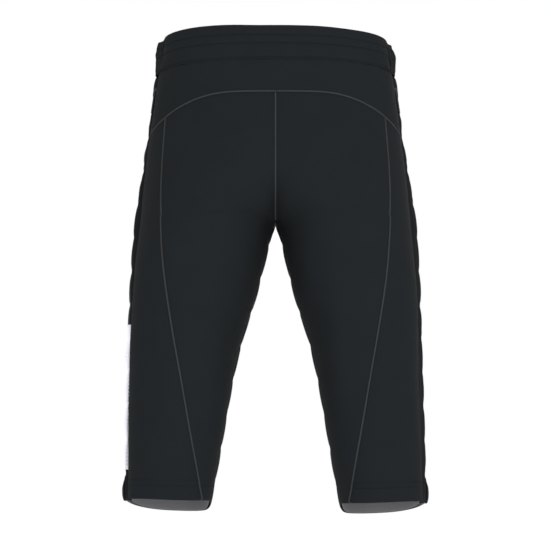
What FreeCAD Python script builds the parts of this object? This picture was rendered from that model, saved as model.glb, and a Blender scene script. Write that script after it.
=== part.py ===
import FreeCAD, Part
import math
import os

# Three-quarter length padded ski shorts with a full-length zip down each side.
# Frame: millimetres, +Z up, the front of the garment faces -Y, and the wearer's left is +X.
# The origin is the centre of the waist opening, so the garment hangs below z = 0.
# Every left piece is drawn at +X, and the right piece is its mirror image.

V = FreeCAD.Vector

# ---------------------------------------------------------------- driving dimensions
# A level is a height and a value there; the values between levels are interpolated.
CROTCH_Z = -234.0
CROTCH_SHARPNESS = 3.6          # how late the seat splits into two legs
CROTCH_ROWS = [-200, -213, -222, -228, -232, -235, -240, -248]
HEM_Z = -579.0                  # back hem and side hem
FRONT_HEM_DROP = 12.5           # how much lower the middle of the front hem hangs
FRONT_HEM_CURVE = 2.0           # exponent of the front hem's curve
ROUNDNESS = 2.25                # exponent of the sections: 2 is an ellipse
BACK_DEPTH = [(0, 104), (-60, 109), (-150, 122), (-234, 118), (-300, 105),
              (-380, 89), (-480, 73), (-592, 64)]
FRONT_DEPTH = [(0, 100), (-60, 104), (-150, 108), (-234, 104), (-300, 96),
               (-380, 84), (-480, 71), (-592, 64)]
INSEAM_X = [(-234, 0), (-277, 12.5), (-328, 26), (-379, 42), (-429, 53.5),
            (-529, 71), (-592, 83)]

# The side of the garment follows one long arc, which is also the path of the zip.
ZIP_ARC_TOP = (148.8, -45.0)    # x and z
ZIP_ARC_END = (183.0, -575.0)
ZIP_ARC_BOW = 10.5

# Seams
BAND_BOTTOM_Z = -41.4
YOKE_CENTRE_Z = -83.0
YOKE_FLAT_X = 45.0              # the yoke seam is level up to here
YOKE_DROP = 42.0
YOKE_DROP_X = 115.0
YOKE_CURVE = 2.4
SIDE_SEAM_X = [(-110, 136.5), (-205, 141), (-285, 137), (-366, 126.5),
               (-453, 111.5), (-540, 96), (-580, 90.5)]
PIPING_HALF_WIDTH = 1.2
PIPING_LOW, PIPING_HIGH = 0.4, 1.1
CENTRE_SEAM_END_Z = -200.0
SEAM_GAP = 0.25                 # half of the gap between two neighbouring panels

# Cloth layers, as distances out from the section curve
SHELL_THICKNESS = 1.8
QUILT_PUFF = [(-45, 5.0), (-110, 3.6), (-175, 5.4), (-228, 8.4), (-290, 7.0),
              (-360, 5.0), (-450, 4.4), (-592, 5.4)]
PUFF_AT_INSEAM = 1.8
PUFF_FADE_U = 0.55              # from here to the inseam the puff fades
QUILT_SHELL = 0.9
WADDING_LOW = -1.0
LINING_LOW, LINING_HIGH = -2.5, -1.7
LINING_END_Y = 14.4            # the lining stops at the outer edge of the zip's tape
LAYER_GAP = 0.3
WADDING_GAP = 0.7
BACK_BAND = (-1.2, 0.0)
FRONT_BAND = (2.6, 4.6)
ELASTIC = (-3.1, -1.6)
BACK_FACING = (-4.3, -3.5)
FRONT_FACING = (0.5, 1.4)
HEM_FACING = (-3.8, -2.6)
HEM_FACING_HEIGHT = 24.0
HEM_FACING_START_Y = 18.0
BAND_FACING_Z = (-38.0, -2.0)
ELASTIC_Z = (-37.0, -4.0)
BAND_FACING_END_Y = 14.0

# Zip
VALLEY = 7.2                    # half of the gap between the panels where the zip lies
ZIP_DEPTH = 3.1                 # the middle of the zip lies this far inside the arc
TEETH_TOP_Z, TEETH_END_Z = -50.5, -566.0
TOOTH_PITCH = 4.6
TOOTH_LENGTH = 2.6
TOOTH_HALF_THICKNESS = 1.4
TOOTH_TIP_Y, TOOTH_ROOT_Y = 0.8, 3.6
CORD_Y, CORD_HALF_THICKNESS = 2.4, 1.0
TAPE_INNER_Y, TAPE_OUTER_Y, TAPE_HALF_THICKNESS = 3.65, 13.5, 0.3
GUARD_NEAR, GUARD_FAR, GUARD_HALF_WIDTH = -6.5, -7.5, 19.0
SLIDER_Z = -59.5
SLIDER_TRAVEL_END_Z = -556.0
SLIDER_HALF_LENGTH, SLIDER_HALF_WIDTH = 7.5, 5.9
PLATE_NEAR, PLATE_FAR = 1.75, 3.35
FLANGE_NEAR, FLANGE_WIDTH = 0.75, 1.0
WEB_HALF_WIDTH, WEB_HALF_LENGTH = 0.5, 4.0
PIN_HEIGHT, PIN_RADIUS, PIN_CLEARANCE = 5.6, 1.0, 0.05
LUG_IN_Y, LUG_OUT_Y, LUG_HALF_LENGTH = 2.7, 4.0, 1.8
EYE_RADIUS, EYE_HALF_WIDTH = 2.0, 2.5
PULL_LENGTH, PULL_HALF_WIDTH, PULL_THICKNESS = 31.0, 4.0, 1.5
PULL_CORNER, PULL_HOLE_RADIUS, PULL_HOLE_UP = 2.2, 1.3, 5.0
PLATE_CORNER, FLANGE_END = 2.5, 2.6
STOP_HALF_X, STOP_HALF_Z, STOP_UP = 1.4, 1.3, 2.0
BOX_HALF_X, BOX_HALF_Y, BOX_HALF_Z, BOX_DOWN = 2.4, 3.4, 5.0, 5.6
ZIP_GUARD_TOP_Z, ZIP_GUARD_UP, TAPE_UP = -47.0, 3.0, 5.0

# Waist fittings
BAND_TOP_Z = -0.3
SNAP_Z, SNAP_Y = -20.5, -2.0
BACK_BAND_END_Y, FRONT_BAND_END_Y = -12.0, 9.5
EYELET_X, EYELET_Z = 22.0, -17.5
FASTENER_HOLE_RADIUS = 2.2
EYELET_HOLE_RADIUS = 3.2
BAND_COLUMNS = 18
# Discs and rings of a fitting: (low, high, radius, radius of its bore)
EYELET_STACK = [(4.8, 5.3, 5.5, 2.4), (2.0, 4.9, 2.9, 2.4), (1.8, 2.1, 4.2, 2.4)]
CAP_STACK = [(4.9, 6.0, 6.5, 0), (1.9, 5.0, 2.0, 0), (1.5, 2.3, 4.2, 0)]
STUD_STACK = [(-2.7, -1.5, 5.0, 0), (-1.6, 0.5, 2.0, 0), (0.3, 1.2, 2.7, 0)]

# Hem tab and stripe, on the outside of the front panel
TAB_FRONT_Y, TAB_TOP_Z, TAB_THICKNESS, TAB_FLARE = -27.0, -546.0, 1.2, 2.4
STRIPE_FRONT_Y, STRIPE_THICKNESS = -26.0, 0.6
STRIPE_Z = (-545.0, -357.0)

# Impact pads: their ends, heights, and distances off the section curve
HIP_PAD_Y, HIP_PAD_Z, HIP_PAD = 44.0, (-228.0, -92.0), (-23.0, -11.6)
THIGH_PAD_U, THIGH_PAD_Z, THIGH_PAD = (-0.66, -0.30), (-425.0, -262.0), (-14.0, -3.2)
TAILBONE_PAD_U, TAILBONE_PAD_Z, TAILBONE_PAD = 0.74, (-182.0, -96.0), (-15.0, -3.2)
POCKET_MARGIN, POCKET_MARGIN_U, POCKET_GAP, POCKET_THICKNESS = 6.0, 0.04, 0.6, 0.8

# Hang loop and label, inside the middle of the back band
LOOP_HALF, LOOP_DROP, LOOP_THICK, LOOP_WIDTH, LOOP_LOW_Z = 27.0, 9.0, 1.1, 7.0, -14.0
LOOP_FLAT, LOOP_SLOPE, LOOP_INNER_SHIFT = 7.0, 6.0, 0.8
LOOP_OFF_FACING = 1.4
LABEL_HALF, LABEL_THICK, LABEL_Z, LABEL_OFF_LOOP = 17.0, 0.5, (-36.0, -18.0), 0.3

os.makedirs("parts", exist_ok=True)

# ---------------------------------------------------------------- shape of the garment
chord = math.dist(ZIP_ARC_TOP, ZIP_ARC_END)
ARC_RADIUS = (chord ** 2 / 4 + ZIP_ARC_BOW ** 2) / (2 * ZIP_ARC_BOW)
OUT_X = (ZIP_ARC_TOP[1] - ZIP_ARC_END[1]) / chord
OUT_Z = (ZIP_ARC_END[0] - ZIP_ARC_TOP[0]) / chord
ARC_X = (ZIP_ARC_TOP[0] + ZIP_ARC_END[0]) / 2 - (ARC_RADIUS - ZIP_ARC_BOW) * OUT_X
ARC_Z = (ZIP_ARC_TOP[1] + ZIP_ARC_END[1]) / 2 - (ARC_RADIUS - ZIP_ARC_BOW) * OUT_Z


def side_x(z):
    """x of the side of the garment at a height."""
    return ARC_X + math.sqrt(ARC_RADIUS ** 2 - (z - ARC_Z) ** 2)


def at_level(levels, z):
    """Smooth value at a height, by cubic pieces through the levels."""
    p = sorted(levels)
    last = len(p) - 1

    def slope(k):
        a, b = p[max(k - 1, 0)], p[min(k + 1, last)]
        return (b[1] - a[1]) / (b[0] - a[0])

    if z <= p[0][0] or z >= p[last][0]:
        k = 0 if z <= p[0][0] else last
        return p[k][1] + slope(k) * (z - p[k][0])
    i = max(k for k in range(last) if p[k][0] <= z)
    h = p[i + 1][0] - p[i][0]
    s = (z - p[i][0]) / h
    near = (2 * s + 1) * (1 - s) ** 2 * p[i][1] + s * (1 - s) ** 2 * h * slope(i)
    far = s * s * (3 - 2 * s) * p[i + 1][1] - s * s * (1 - s) * h * slope(i + 1)
    return near + far


def section(z, t=0.0):
    """Centre x, half width, back depth and front depth of one half, grown by t."""
    x = side_x(z)
    if z > CROTCH_Z:
        split = (max(z / CROTCH_Z, 0.0)) ** CROTCH_SHARPNESS
        half = x / (1 + split)
        centre = split * half
    else:
        inner = at_level(INSEAM_X, z)
        half = (x - inner) / 2
        centre = (x + inner) / 2
    return centre, half + t, at_level(BACK_DEPTH, z) + t, at_level(FRONT_DEPTH, z) + t


def last_angle(centre, half):
    """Angle at which the section meets the middle plane, or half a turn on a leg."""
    if centre >= half:
        return math.pi
    return math.acos(-((centre / half) ** (ROUNDNESS / 2)))


def point(u, z, t=0.0):
    """u runs from 0 at the side to 1 at the middle of the back and -1 at the front."""
    centre, half, back, front = section(z, t)
    angle = abs(u) * last_angle(centre, half)
    c, s = math.cos(angle), math.sin(angle)
    x = centre + half * math.copysign(abs(c) ** (2 / ROUNDNESS), c)
    y = (back if u >= 0 else -front) * abs(s) ** (2 / ROUNDNESS)
    return V(x, y, z)


def u_at_x(x, z):
    centre, half, _, _ = section(z)
    q = max(-1.0, min(1.0, (x - centre) / half))
    c = math.copysign(abs(q) ** (ROUNDNESS / 2), q)
    return math.acos(c) / last_angle(centre, half)


def u_at_y(y, z):
    """u near the side, where the surface is y in front of or behind the zip."""
    centre, half, back, front = section(z)
    depth = back if y >= 0 else front
    angle = math.asin((abs(y) / depth) ** (ROUNDNESS / 2))
    return math.copysign(angle / last_angle(centre, half), y)


def u_shifted(u, z, distance):
    """u moved along the surface by a distance."""
    step = 0.002
    speed = (point(u, z) - point(u - step, z)).Length / step
    return u + distance / speed


def yoke_z(x):
    drop = max(abs(x) - YOKE_FLAT_X, 0.0) / YOKE_DROP_X
    return YOKE_CENTRE_Z - YOKE_DROP * drop ** YOKE_CURVE


def hem_z(u):
    if u >= 0:
        return HEM_Z
    return HEM_Z - FRONT_HEM_DROP * (1 - abs(2 * abs(u) - 1) ** FRONT_HEM_CURVE)


def puff(u, z):
    """How far the quilted front stands out from the section curve."""
    fade = min(max((abs(u) - PUFF_FADE_U) / (1 - PUFF_FADE_U), 0.0), 1.0)
    fade = fade * fade * (3 - 2 * fade)
    return at_level(QUILT_PUFF, z) * (1 - fade) + PUFF_AT_INSEAM * fade


# ---------------------------------------------------------------- cloth panels
def solid_from(grid_out, grid_in):
    """A closed solid between two grids of points, ruled from row to row."""
    columns = len(grid_out[0]) - 1
    shares = [j / columns for j in range(columns + 1)]

    def curves(grid):
        made = []
        for row in grid:
            curve = Part.BSplineCurve()
            curve.interpolate(Points=row, Parameters=shares)
            made.append(curve)
        return made

    def ruled(a, b):
        """The surface of straight lines between two curves that share their knots."""
        surface = Part.BSplineSurface()
        surface.buildFromPolesMultsKnots([a.getPoles(), b.getPoles()], [2, 2],
                                         a.getMultiplicities(), [0, 1], a.getKnots(),
                                         False, False, 1, a.Degree)
        return surface.toShape()

    def end_face(k, j):
        """The flat or slightly twisted face between two rows, at one end of them."""
        corners = [[grid_out[k][j], grid_out[k + 1][j]], [grid_in[k][j], grid_in[k + 1][j]]]
        surface = Part.BSplineSurface()
        surface.buildFromPolesMultsKnots(corners, [2, 2], [2, 2], [0, 1], [0, 1],
                                         False, False, 1, 1)
        return surface.toShape()

    outer, inner = curves(grid_out), curves(grid_in)
    faces = [ruled(outer[0], inner[0]), ruled(outer[-1], inner[-1])]
    for k in range(len(outer) - 1):
        faces += [ruled(outer[k], outer[k + 1]), ruled(inner[k], inner[k + 1])]
        faces += [end_face(k, 0), end_face(k, -1)]
    shell = Part.makeShell(faces)
    shell.sewShape()
    solid = Part.makeSolid(shell)
    if solid.Volume < 0:
        solid.reverse()
    return solid


def row_shares(low, high, rows):
    """Where the rows lie between two heights: evenly, and closer together at the crotch."""
    shares = [i / rows for i in range(rows + 1)]
    for z in CROTCH_ROWS:
        share = (z - low) / (high - low)
        if 0.02 < share < 0.98:
            shares = [s for s in shares if s in (0, 1) or abs(s - share) > 0.3 / rows]
            shares.append(share)
    return sorted(shares)


def panel(low_u, high_u, low_z, high_z, inner, outer, rows, columns, clear_x=SEAM_GAP):
    """One cloth panel of the left half.
    low_u and high_u give u at a height; low_z and high_z give the height at (u, x);
    inner and outer give the two faces' distances from the section curve."""
    grid_out, grid_in = [], []
    for share in row_shares(low_z(0.5, 100.0), high_z(0.5, 100.0), rows):
        row_out, row_in = [], []
        for j in range(columns + 1):
            across = j / columns
            z = low_z(0.5, 100.0) + (high_z(0.5, 100.0) - low_z(0.5, 100.0)) * share
            for _ in range(12):
                u = low_u(z) + (high_u(z) - low_u(z)) * across
                x = point(u, z).x
                z = low_z(u, x) + (high_z(u, x) - low_z(u, x)) * share
            for row, t in ((row_out, outer(u, z)), (row_in, inner(u, z))):
                p = point(u, z, t)
                row.append(V(max(p.x, clear_x), p.y, p.z))
        grid_out.append(row_out)
        grid_in.append(row_in)
    return solid_from(grid_out, grid_in)


def wrap(side_u, low_z, high_z, inner, outer, rows, columns):
    """One panel that runs round the back or the front from side to side.
    side_u gives u at the left side; its sign says back or front."""
    grid_out, grid_in = [], []
    for i in range(rows + 1):
        row_out, row_in = [], []
        for j in range(2 * columns + 1):
            w = j / columns - 1
            z = (low_z(100.0) + high_z(100.0)) / 2
            for _ in range(12):
                end = side_u(z)
                u = math.copysign(1, end) + (end - math.copysign(1, end)) * abs(w)
                x = point(u, z).x
                z = low_z(x) + (high_z(x) - low_z(x)) * i / rows
            for row, t in ((row_out, outer), (row_in, inner)):
                p = point(u, z, t)
                row.append(V(math.copysign(p.x, w), p.y, p.z))
        grid_out.append(row_out)
        grid_in.append(row_in)
    return solid_from(grid_out, grid_in)


def just(value):
    return lambda *place: value


def zip_edge(y):
    return lambda z: u_at_y(y, z)


def side_seam(offset):
    return lambda z: u_shifted(u_at_x(at_level(SIDE_SEAM_X, z), z), z, offset)


# ---------------------------------------------------------------- pieces along the zip
def on_arc(z, height, shape):
    """Moves a shape from its own frame (x out, z up the zip) to the left zip at a height."""
    lean = math.degrees(math.asin((z - ARC_Z) / ARC_RADIUS))
    shape = shape.copy()
    shape.translate(V(ARC_RADIUS + height, 0, 0))
    shape.rotate(V(0, 0, 0), V(0, 1, 0), -lean)
    shape.translate(V(ARC_X, 0, ARC_Z))
    return shape


def arc_point(z, height):
    lean = math.asin((z - ARC_Z) / ARC_RADIUS)
    r = ARC_RADIUS + height
    return V(ARC_X + r * math.cos(lean), 0, ARC_Z + r * math.sin(lean))


def arc_strip(near, far, y_low, y_high, top_z, end_z):
    """A strip that follows the zip, between two heights off the arc."""
    middle_z = (top_z + end_z) / 2
    edges = []
    for height in (near, far):
        points = [arc_point(z, height) for z in (top_z, middle_z, end_z)]
        edges.append(Part.Arc(*points).toShape())
    edges.append(Part.makeLine(arc_point(top_z, near), arc_point(top_z, far)))
    edges.append(Part.makeLine(arc_point(end_z, near), arc_point(end_z, far)))
    face = Part.Face(Part.Wire(Part.__sortEdges__(edges)))
    face.translate(V(0, y_low, 0))
    return face.extrude(V(0, y_high - y_low, 0))


def block(x, y, z):
    """A box from three (low, high) pairs."""
    size = [high - low for low, high in (x, y, z)]
    return Part.makeBox(*size, V(x[0], y[0], z[0]))


def both_sides(shape, towards_front):
    """A piece drawn behind the zip, or its image in front of it."""
    return shape.mirror(V(0, 0, 0), V(0, 1, 0)) if towards_front else shape


def teeth_row():
    """One row of moulded teeth joined by the cord that they grip."""
    mid = -ZIP_DEPTH
    row = arc_strip(mid - CORD_HALF_THICKNESS, mid + CORD_HALF_THICKNESS,
                    CORD_Y, TOOTH_ROOT_Y, TEETH_TOP_Z, TEETH_END_Z)
    tooth = block((-TOOTH_HALF_THICKNESS, TOOTH_HALF_THICKNESS), (TOOTH_TIP_Y, TOOTH_ROOT_Y - 0.1),
                  (-TOOTH_LENGTH / 2, TOOTH_LENGTH / 2))
    count = int((TEETH_TOP_Z - TEETH_END_Z) / TOOTH_PITCH)
    heights = [TEETH_TOP_Z - TOOTH_PITCH * (k + 0.5) for k in range(count)]
    return row.multiFuse([on_arc(z, mid, tooth) for z in heights])


def slider_body():
    half = SLIDER_HALF_LENGTH
    wide = SLIDER_HALF_WIDTH
    parts = []
    for side in (1, -1):
        plate_x = sorted((side * PLATE_NEAR, side * PLATE_FAR))
        plate = block(plate_x, (-wide, wide), (-half, half))
        corners = [e for e in plate.Edges if abs(e.tangentAt(e.FirstParameter).x) > 0.99]
        parts.append(plate.makeFillet(PLATE_CORNER, corners))
        flange_x = sorted((side * FLANGE_NEAR, side * (PLATE_NEAR + 0.1)))
        for y in ((wide - FLANGE_WIDTH, wide), (-wide, FLANGE_WIDTH - wide)):
            parts.append(block(flange_x, y, (FLANGE_END - half, half - FLANGE_END)))
    parts.append(block((-PLATE_NEAR - 0.1, PLATE_NEAR + 0.1), (-WEB_HALF_WIDTH, WEB_HALF_WIDTH),
                       (-WEB_HALF_LENGTH, WEB_HALF_LENGTH)))
    for y in ((LUG_IN_Y, LUG_OUT_Y), (-LUG_OUT_Y, -LUG_IN_Y)):
        lug_x = (PLATE_FAR - 0.1, PIN_HEIGHT + LUG_HALF_LENGTH)
        lug = block(lug_x, y, (-LUG_HALF_LENGTH, LUG_HALF_LENGTH))
        tops = [e for e in lug.Edges
                if abs(e.tangentAt(e.FirstParameter).y) > 0.99 and e.CenterOfMass.x > PIN_HEIGHT]
        parts.append(lug.makeFillet(LUG_HALF_LENGTH - 0.1, tops))
    pin_length = LUG_IN_Y + LUG_OUT_Y
    pin_start = V(PIN_HEIGHT, -pin_length / 2, 0)
    parts.append(Part.makeCylinder(PIN_RADIUS, pin_length, pin_start, V(0, 1, 0)))
    return parts[0].multiFuse(parts[1:]).removeSplitter()


def pull_tab():
    """The tab hangs down the zip from an eye round the slider's pin."""
    low = -PULL_LENGTH
    x = (PIN_HEIGHT - PULL_THICKNESS / 2, PIN_HEIGHT + PULL_THICKNESS / 2)
    neck = block(x, (-EYE_HALF_WIDTH + 0.4, EYE_HALF_WIDTH - 0.4), (low / 3, 0))
    tab = block(x, (-PULL_HALF_WIDTH, PULL_HALF_WIDTH), (low, low / 3 + 1))
    corners = [e for e in tab.Edges if abs(e.tangentAt(e.FirstParameter).x) > 0.99]
    tab = tab.makeFillet(PULL_CORNER, corners)
    eye_start = V(PIN_HEIGHT, -EYE_HALF_WIDTH, 0)
    eye = Part.makeCylinder(EYE_RADIUS, 2 * EYE_HALF_WIDTH, eye_start, V(0, 1, 0))
    bore = Part.makeCylinder(PIN_RADIUS + PIN_CLEARANCE, 4 * EYE_HALF_WIDTH,
                             V(PIN_HEIGHT, -2 * EYE_HALF_WIDTH, 0), V(0, 1, 0))
    hole = Part.makeCylinder(PULL_HOLE_RADIUS, 4 * PULL_THICKNESS,
                             V(PIN_HEIGHT - 2 * PULL_THICKNESS, 0, low + PULL_HOLE_UP), V(1, 0, 0))
    return eye.fuse([neck, tab]).removeSplitter().cut(bore).cut(hole)


def round_fitting(stack, y):
    """Discs and rings about one axis that points outwards: (low, high, radius, bore)."""
    parts = []
    for low, high, radius, hole in stack:
        disc = Part.makeCylinder(radius, high - low, V(low, y, 0), V(1, 0, 0))
        if hole:
            disc = disc.cut(Part.makeCylinder(hole, high - low, V(low, y, 0), V(1, 0, 0)))
        parts.append(disc)
    return parts[0].multiFuse(parts[1:]).removeSplitter() if len(parts) > 1 else parts[0]


# ---------------------------------------------------------------- the garment's pieces
left = {}
middle = {}

below_band = just(BAND_BOTTOM_Z - 2 * SEAM_GAP)
shell_inner, shell_outer = just(-SHELL_THICKNESS), just(0.0)

snap_axis = on_arc(SNAP_Z, 0, Part.makeCylinder(FASTENER_HOLE_RADIUS, 30, V(-15, SNAP_Y, 0),
                                                V(1, 0, 0)))
snap_holes = [snap_axis, snap_axis.mirror(V(0, 0, 0), V(1, 0, 0))]


def waistband(middle_u, end_y, layer):
    """A band round the back (middle_u 1) or the front (-1), ending past each side."""
    grids = []
    for t in reversed(layer):
        grid = []
        for z in (BAND_BOTTOM_Z, BAND_TOP_Z):
            end = u_at_y(end_y, z)
            row = []
            for j in range(-BAND_COLUMNS, BAND_COLUMNS + 1):
                u = middle_u + (end - middle_u) * abs(j) / BAND_COLUMNS
                p = point(u, z, t)
                row.append(V(math.copysign(p.x, j), p.y, p.z))
            grid.append(row)
        grids.append(grid)
    return solid_from(*grids)


def to_front(shape, x, z):
    """Turns a fitting whose axis is +X so that it stands square on the front band."""
    u = -u_at_x(abs(x), z)
    place, beside, above = point(u, z), point(u + 0.01, z), point(u, z + 1)
    turn = math.degrees(math.atan2(beside.y - place.y, beside.x - place.x))
    lean = math.degrees(math.atan2(above.y - place.y, 1))
    shape = shape.copy()
    shape.rotate(V(0, 0, 0), V(0, 0, 1), math.copysign(turn, x) - 90)
    shape.rotate(V(0, 0, 0), V(1, 0, 0), -lean)
    shape.translate(V(x, place.y, z))
    return shape


eyelet_bores = []
eyelets = []
for x in (EYELET_X, -EYELET_X):
    eyelet_bores.append(to_front(Part.makeCylinder(EYELET_HOLE_RADIUS, 12, V(-3, 0, 0), V(1, 0, 0)),
                                 x, EYELET_Z))
    eyelets.append(to_front(round_fitting(EYELET_STACK, 0), x, EYELET_Z))

middle["waistband_back"] = waistband(1, BACK_BAND_END_Y, BACK_BAND).cut(snap_holes)
front_band = waistband(-1, FRONT_BAND_END_Y, FRONT_BAND)
middle["waistband_front"] = front_band.cut(snap_holes + eyelet_bores)
middle["waist_eyelets"] = Part.makeCompound(eyelets)
for name, end_y, heights, layer in (
        ("waist_elastic", BAND_FACING_END_Y, ELASTIC_Z, ELASTIC),
        ("waistband_facing_back", BAND_FACING_END_Y, BAND_FACING_Z, BACK_FACING),
        ("waistband_facing_front", -BAND_FACING_END_Y, BAND_FACING_Z, FRONT_FACING)):
    middle[name] = wrap(zip_edge(end_y), just(heights[0]), just(heights[1]), *layer,
                        rows=1, columns=14)
middle["back_yoke"] = wrap(zip_edge(VALLEY), lambda x: yoke_z(x) + SEAM_GAP, below_band,
                           -SHELL_THICKNESS, 0.0, rows=3, columns=16)
middle["yoke_piping"] = wrap(zip_edge(VALLEY + 1), lambda x: yoke_z(x) - PIPING_HALF_WIDTH,
                             lambda x: yoke_z(x) + PIPING_HALF_WIDTH, PIPING_LOW, PIPING_HIGH,
                             rows=1, columns=18)


def centre_strip(top_z, end_z, half_width, inner, outer, rows):
    """A narrow strip down the middle of the back."""
    grids = []
    for t in (outer, inner):
        grid = []
        for i in range(rows + 1):
            z = end_z + (top_z - end_z) * i / rows
            row = []
            for x in (-half_width, 0, half_width):
                y = point(u_at_x(max(abs(x), 0.01), z), z, t).y
                row.append(V(x, y, z))
            grid.append(row)
        grids.append(grid)
    return solid_from(*grids)


middle["centre_back_piping"] = centre_strip(YOKE_CENTRE_Z - PIPING_HALF_WIDTH - 0.4,
                                            CENTRE_SEAM_END_Z, PIPING_HALF_WIDTH,
                                            PIPING_LOW + 0.3, PIPING_HIGH + 0.1, rows=8)


def below_yoke(gap):
    return lambda u, x: yoke_z(x) - gap


def to_hem(raise_by=0.0):
    return lambda u, x: hem_z(u) + raise_by


left["back_panel"] = panel(side_seam(SEAM_GAP), just(1.0), to_hem(), below_yoke(SEAM_GAP),
                           shell_inner, shell_outer, rows=22, columns=14)
left["side_panel"] = panel(zip_edge(VALLEY), side_seam(-SEAM_GAP), to_hem(), below_yoke(SEAM_GAP),
                           shell_inner, shell_outer, rows=16, columns=6)
left["side_piping"] = panel(side_seam(-PIPING_HALF_WIDTH), side_seam(PIPING_HALF_WIDTH), to_hem(1.0),
                            below_yoke(PIPING_HALF_WIDTH + 0.4), just(PIPING_LOW), just(PIPING_HIGH),
                            rows=20, columns=2)
left["hem_facing"] = panel(zip_edge(HEM_FACING_START_Y), just(0.985), to_hem(0.5),
                           to_hem(HEM_FACING_HEIGHT), just(HEM_FACING[0]), just(HEM_FACING[1]),
                           rows=2, columns=20)
left["front_panel"] = panel(just(-1.0), zip_edge(-VALLEY), to_hem(), below_band,
                            lambda u, z: puff(u, z) - QUILT_SHELL, puff, rows=24, columns=20)
left["front_wadding"] = panel(just(-1.0), zip_edge(-VALLEY - 0.6), to_hem(3.0), below_band,
                              just(WADDING_LOW),
                              lambda u, z: puff(u, z) - QUILT_SHELL - WADDING_GAP,
                              rows=24, columns=20)
left["front_lining"] = panel(just(-1.0), zip_edge(-LINING_END_Y), to_hem(0.6), below_band,
                             just(LINING_LOW), just(LINING_HIGH), rows=24, columns=20)

# Zip
mid = -ZIP_DEPTH
row = teeth_row()
tape = arc_strip(mid - TAPE_HALF_THICKNESS, mid + TAPE_HALF_THICKNESS, TAPE_INNER_Y, TAPE_OUTER_Y,
                 TEETH_TOP_Z + TAPE_UP, HEM_Z + 1)
stop = on_arc(TEETH_TOP_Z + STOP_UP, mid,
              block((-STOP_HALF_X, STOP_HALF_X), (TOOTH_TIP_Y, TOOTH_ROOT_Y - 0.1),
                    (-STOP_HALF_Z, STOP_HALF_Z)))
for word, front in (("front", True), ("back", False)):
    left["zip_teeth_" + word] = both_sides(row, front)
    left["zip_tape_" + word] = both_sides(tape, front)
left["zip_top_stops"] = Part.makeCompound([stop, both_sides(stop, True)])
left["zip_bottom_box"] = on_arc(TEETH_END_Z - BOX_DOWN, mid,
                                block((-BOX_HALF_X, BOX_HALF_X), (-BOX_HALF_Y, BOX_HALF_Y),
                                      (-BOX_HALF_Z, BOX_HALF_Z)))
left["zip_guard"] = arc_strip(mid + GUARD_FAR, mid + GUARD_NEAR, -GUARD_HALF_WIDTH,
                              GUARD_HALF_WIDTH, ZIP_GUARD_TOP_Z, HEM_Z + ZIP_GUARD_UP)
left["zip_slider"] = on_arc(SLIDER_Z, mid, slider_body())
left["zip_pull"] = on_arc(SLIDER_Z, mid, pull_tab())

# Snap that holds the two bands together above each zip
left["waist_snap_cap"] = on_arc(SNAP_Z, 0, round_fitting(CAP_STACK, SNAP_Y))
left["waist_snap_stud"] = on_arc(SNAP_Z, 0, round_fitting(STUD_STACK, SNAP_Y))

# Hem tab: a stiff corner piece that covers the lower end of the zip's front edge
def tab_outer(u, z):
    flare = TAB_FLARE * (TAB_TOP_Z - z) / (TAB_TOP_Z - HEM_Z - 1.0)
    return puff(u, z) + LAYER_GAP + TAB_THICKNESS + flare


left["hem_tab"] = panel(zip_edge(TAB_FRONT_Y), zip_edge(-VALLEY - 0.5), just(HEM_Z + 1.0),
                        just(TAB_TOP_Z), lambda u, z: puff(u, z) + LAYER_GAP, tab_outer,
                        rows=3, columns=3)


# Impact pads and the pockets that hold them, all inside the shell
def pocket_layer(pad):
    """The two faces of the cloth that lies just inside a pad."""
    outside = pad[0] - POCKET_GAP
    return outside - POCKET_THICKNESS, outside


def inside_panel(ends, heights, layer, rows, columns):
    return panel(*ends, just(heights[0]), just(heights[1]), just(layer[0]), just(layer[1]),
                 rows=rows, columns=columns)


def wider(heights):
    return heights[0] - POCKET_MARGIN, heights[1] + POCKET_MARGIN


hip_ends = (zip_edge(-HIP_PAD_Y), zip_edge(HIP_PAD_Y))
hip_pocket_ends = (zip_edge(-HIP_PAD_Y - POCKET_MARGIN), zip_edge(HIP_PAD_Y + POCKET_MARGIN))
thigh_ends = (just(THIGH_PAD_U[0]), just(THIGH_PAD_U[1]))
thigh_pocket_ends = (just(THIGH_PAD_U[0] - POCKET_MARGIN_U), just(THIGH_PAD_U[1] + POCKET_MARGIN_U))
left["hip_pad"] = inside_panel(hip_ends, HIP_PAD_Z, HIP_PAD, rows=5, columns=8)
left["thigh_pad"] = inside_panel(thigh_ends, THIGH_PAD_Z, THIGH_PAD, rows=6, columns=7)
middle["tailbone_pad"] = wrap(just(TAILBONE_PAD_U), just(TAILBONE_PAD_Z[0]), just(TAILBONE_PAD_Z[1]),
                              *TAILBONE_PAD, rows=4, columns=6)
pocket_z = wider(TAILBONE_PAD_Z)
pockets = [wrap(just(TAILBONE_PAD_U - POCKET_MARGIN_U), just(pocket_z[0]), just(pocket_z[1]),
                *pocket_layer(TAILBONE_PAD), rows=4, columns=6)]
for pocket in (inside_panel(hip_pocket_ends, wider(HIP_PAD_Z), pocket_layer(HIP_PAD), 5, 8),
               inside_panel(thigh_pocket_ends, wider(THIGH_PAD_Z), pocket_layer(THIGH_PAD), 6, 7)):
    pockets += [pocket, pocket.mirror(V(0, 0, 0), V(1, 0, 0))]
middle["pad_pockets"] = Part.makeCompound(pockets)

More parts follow.
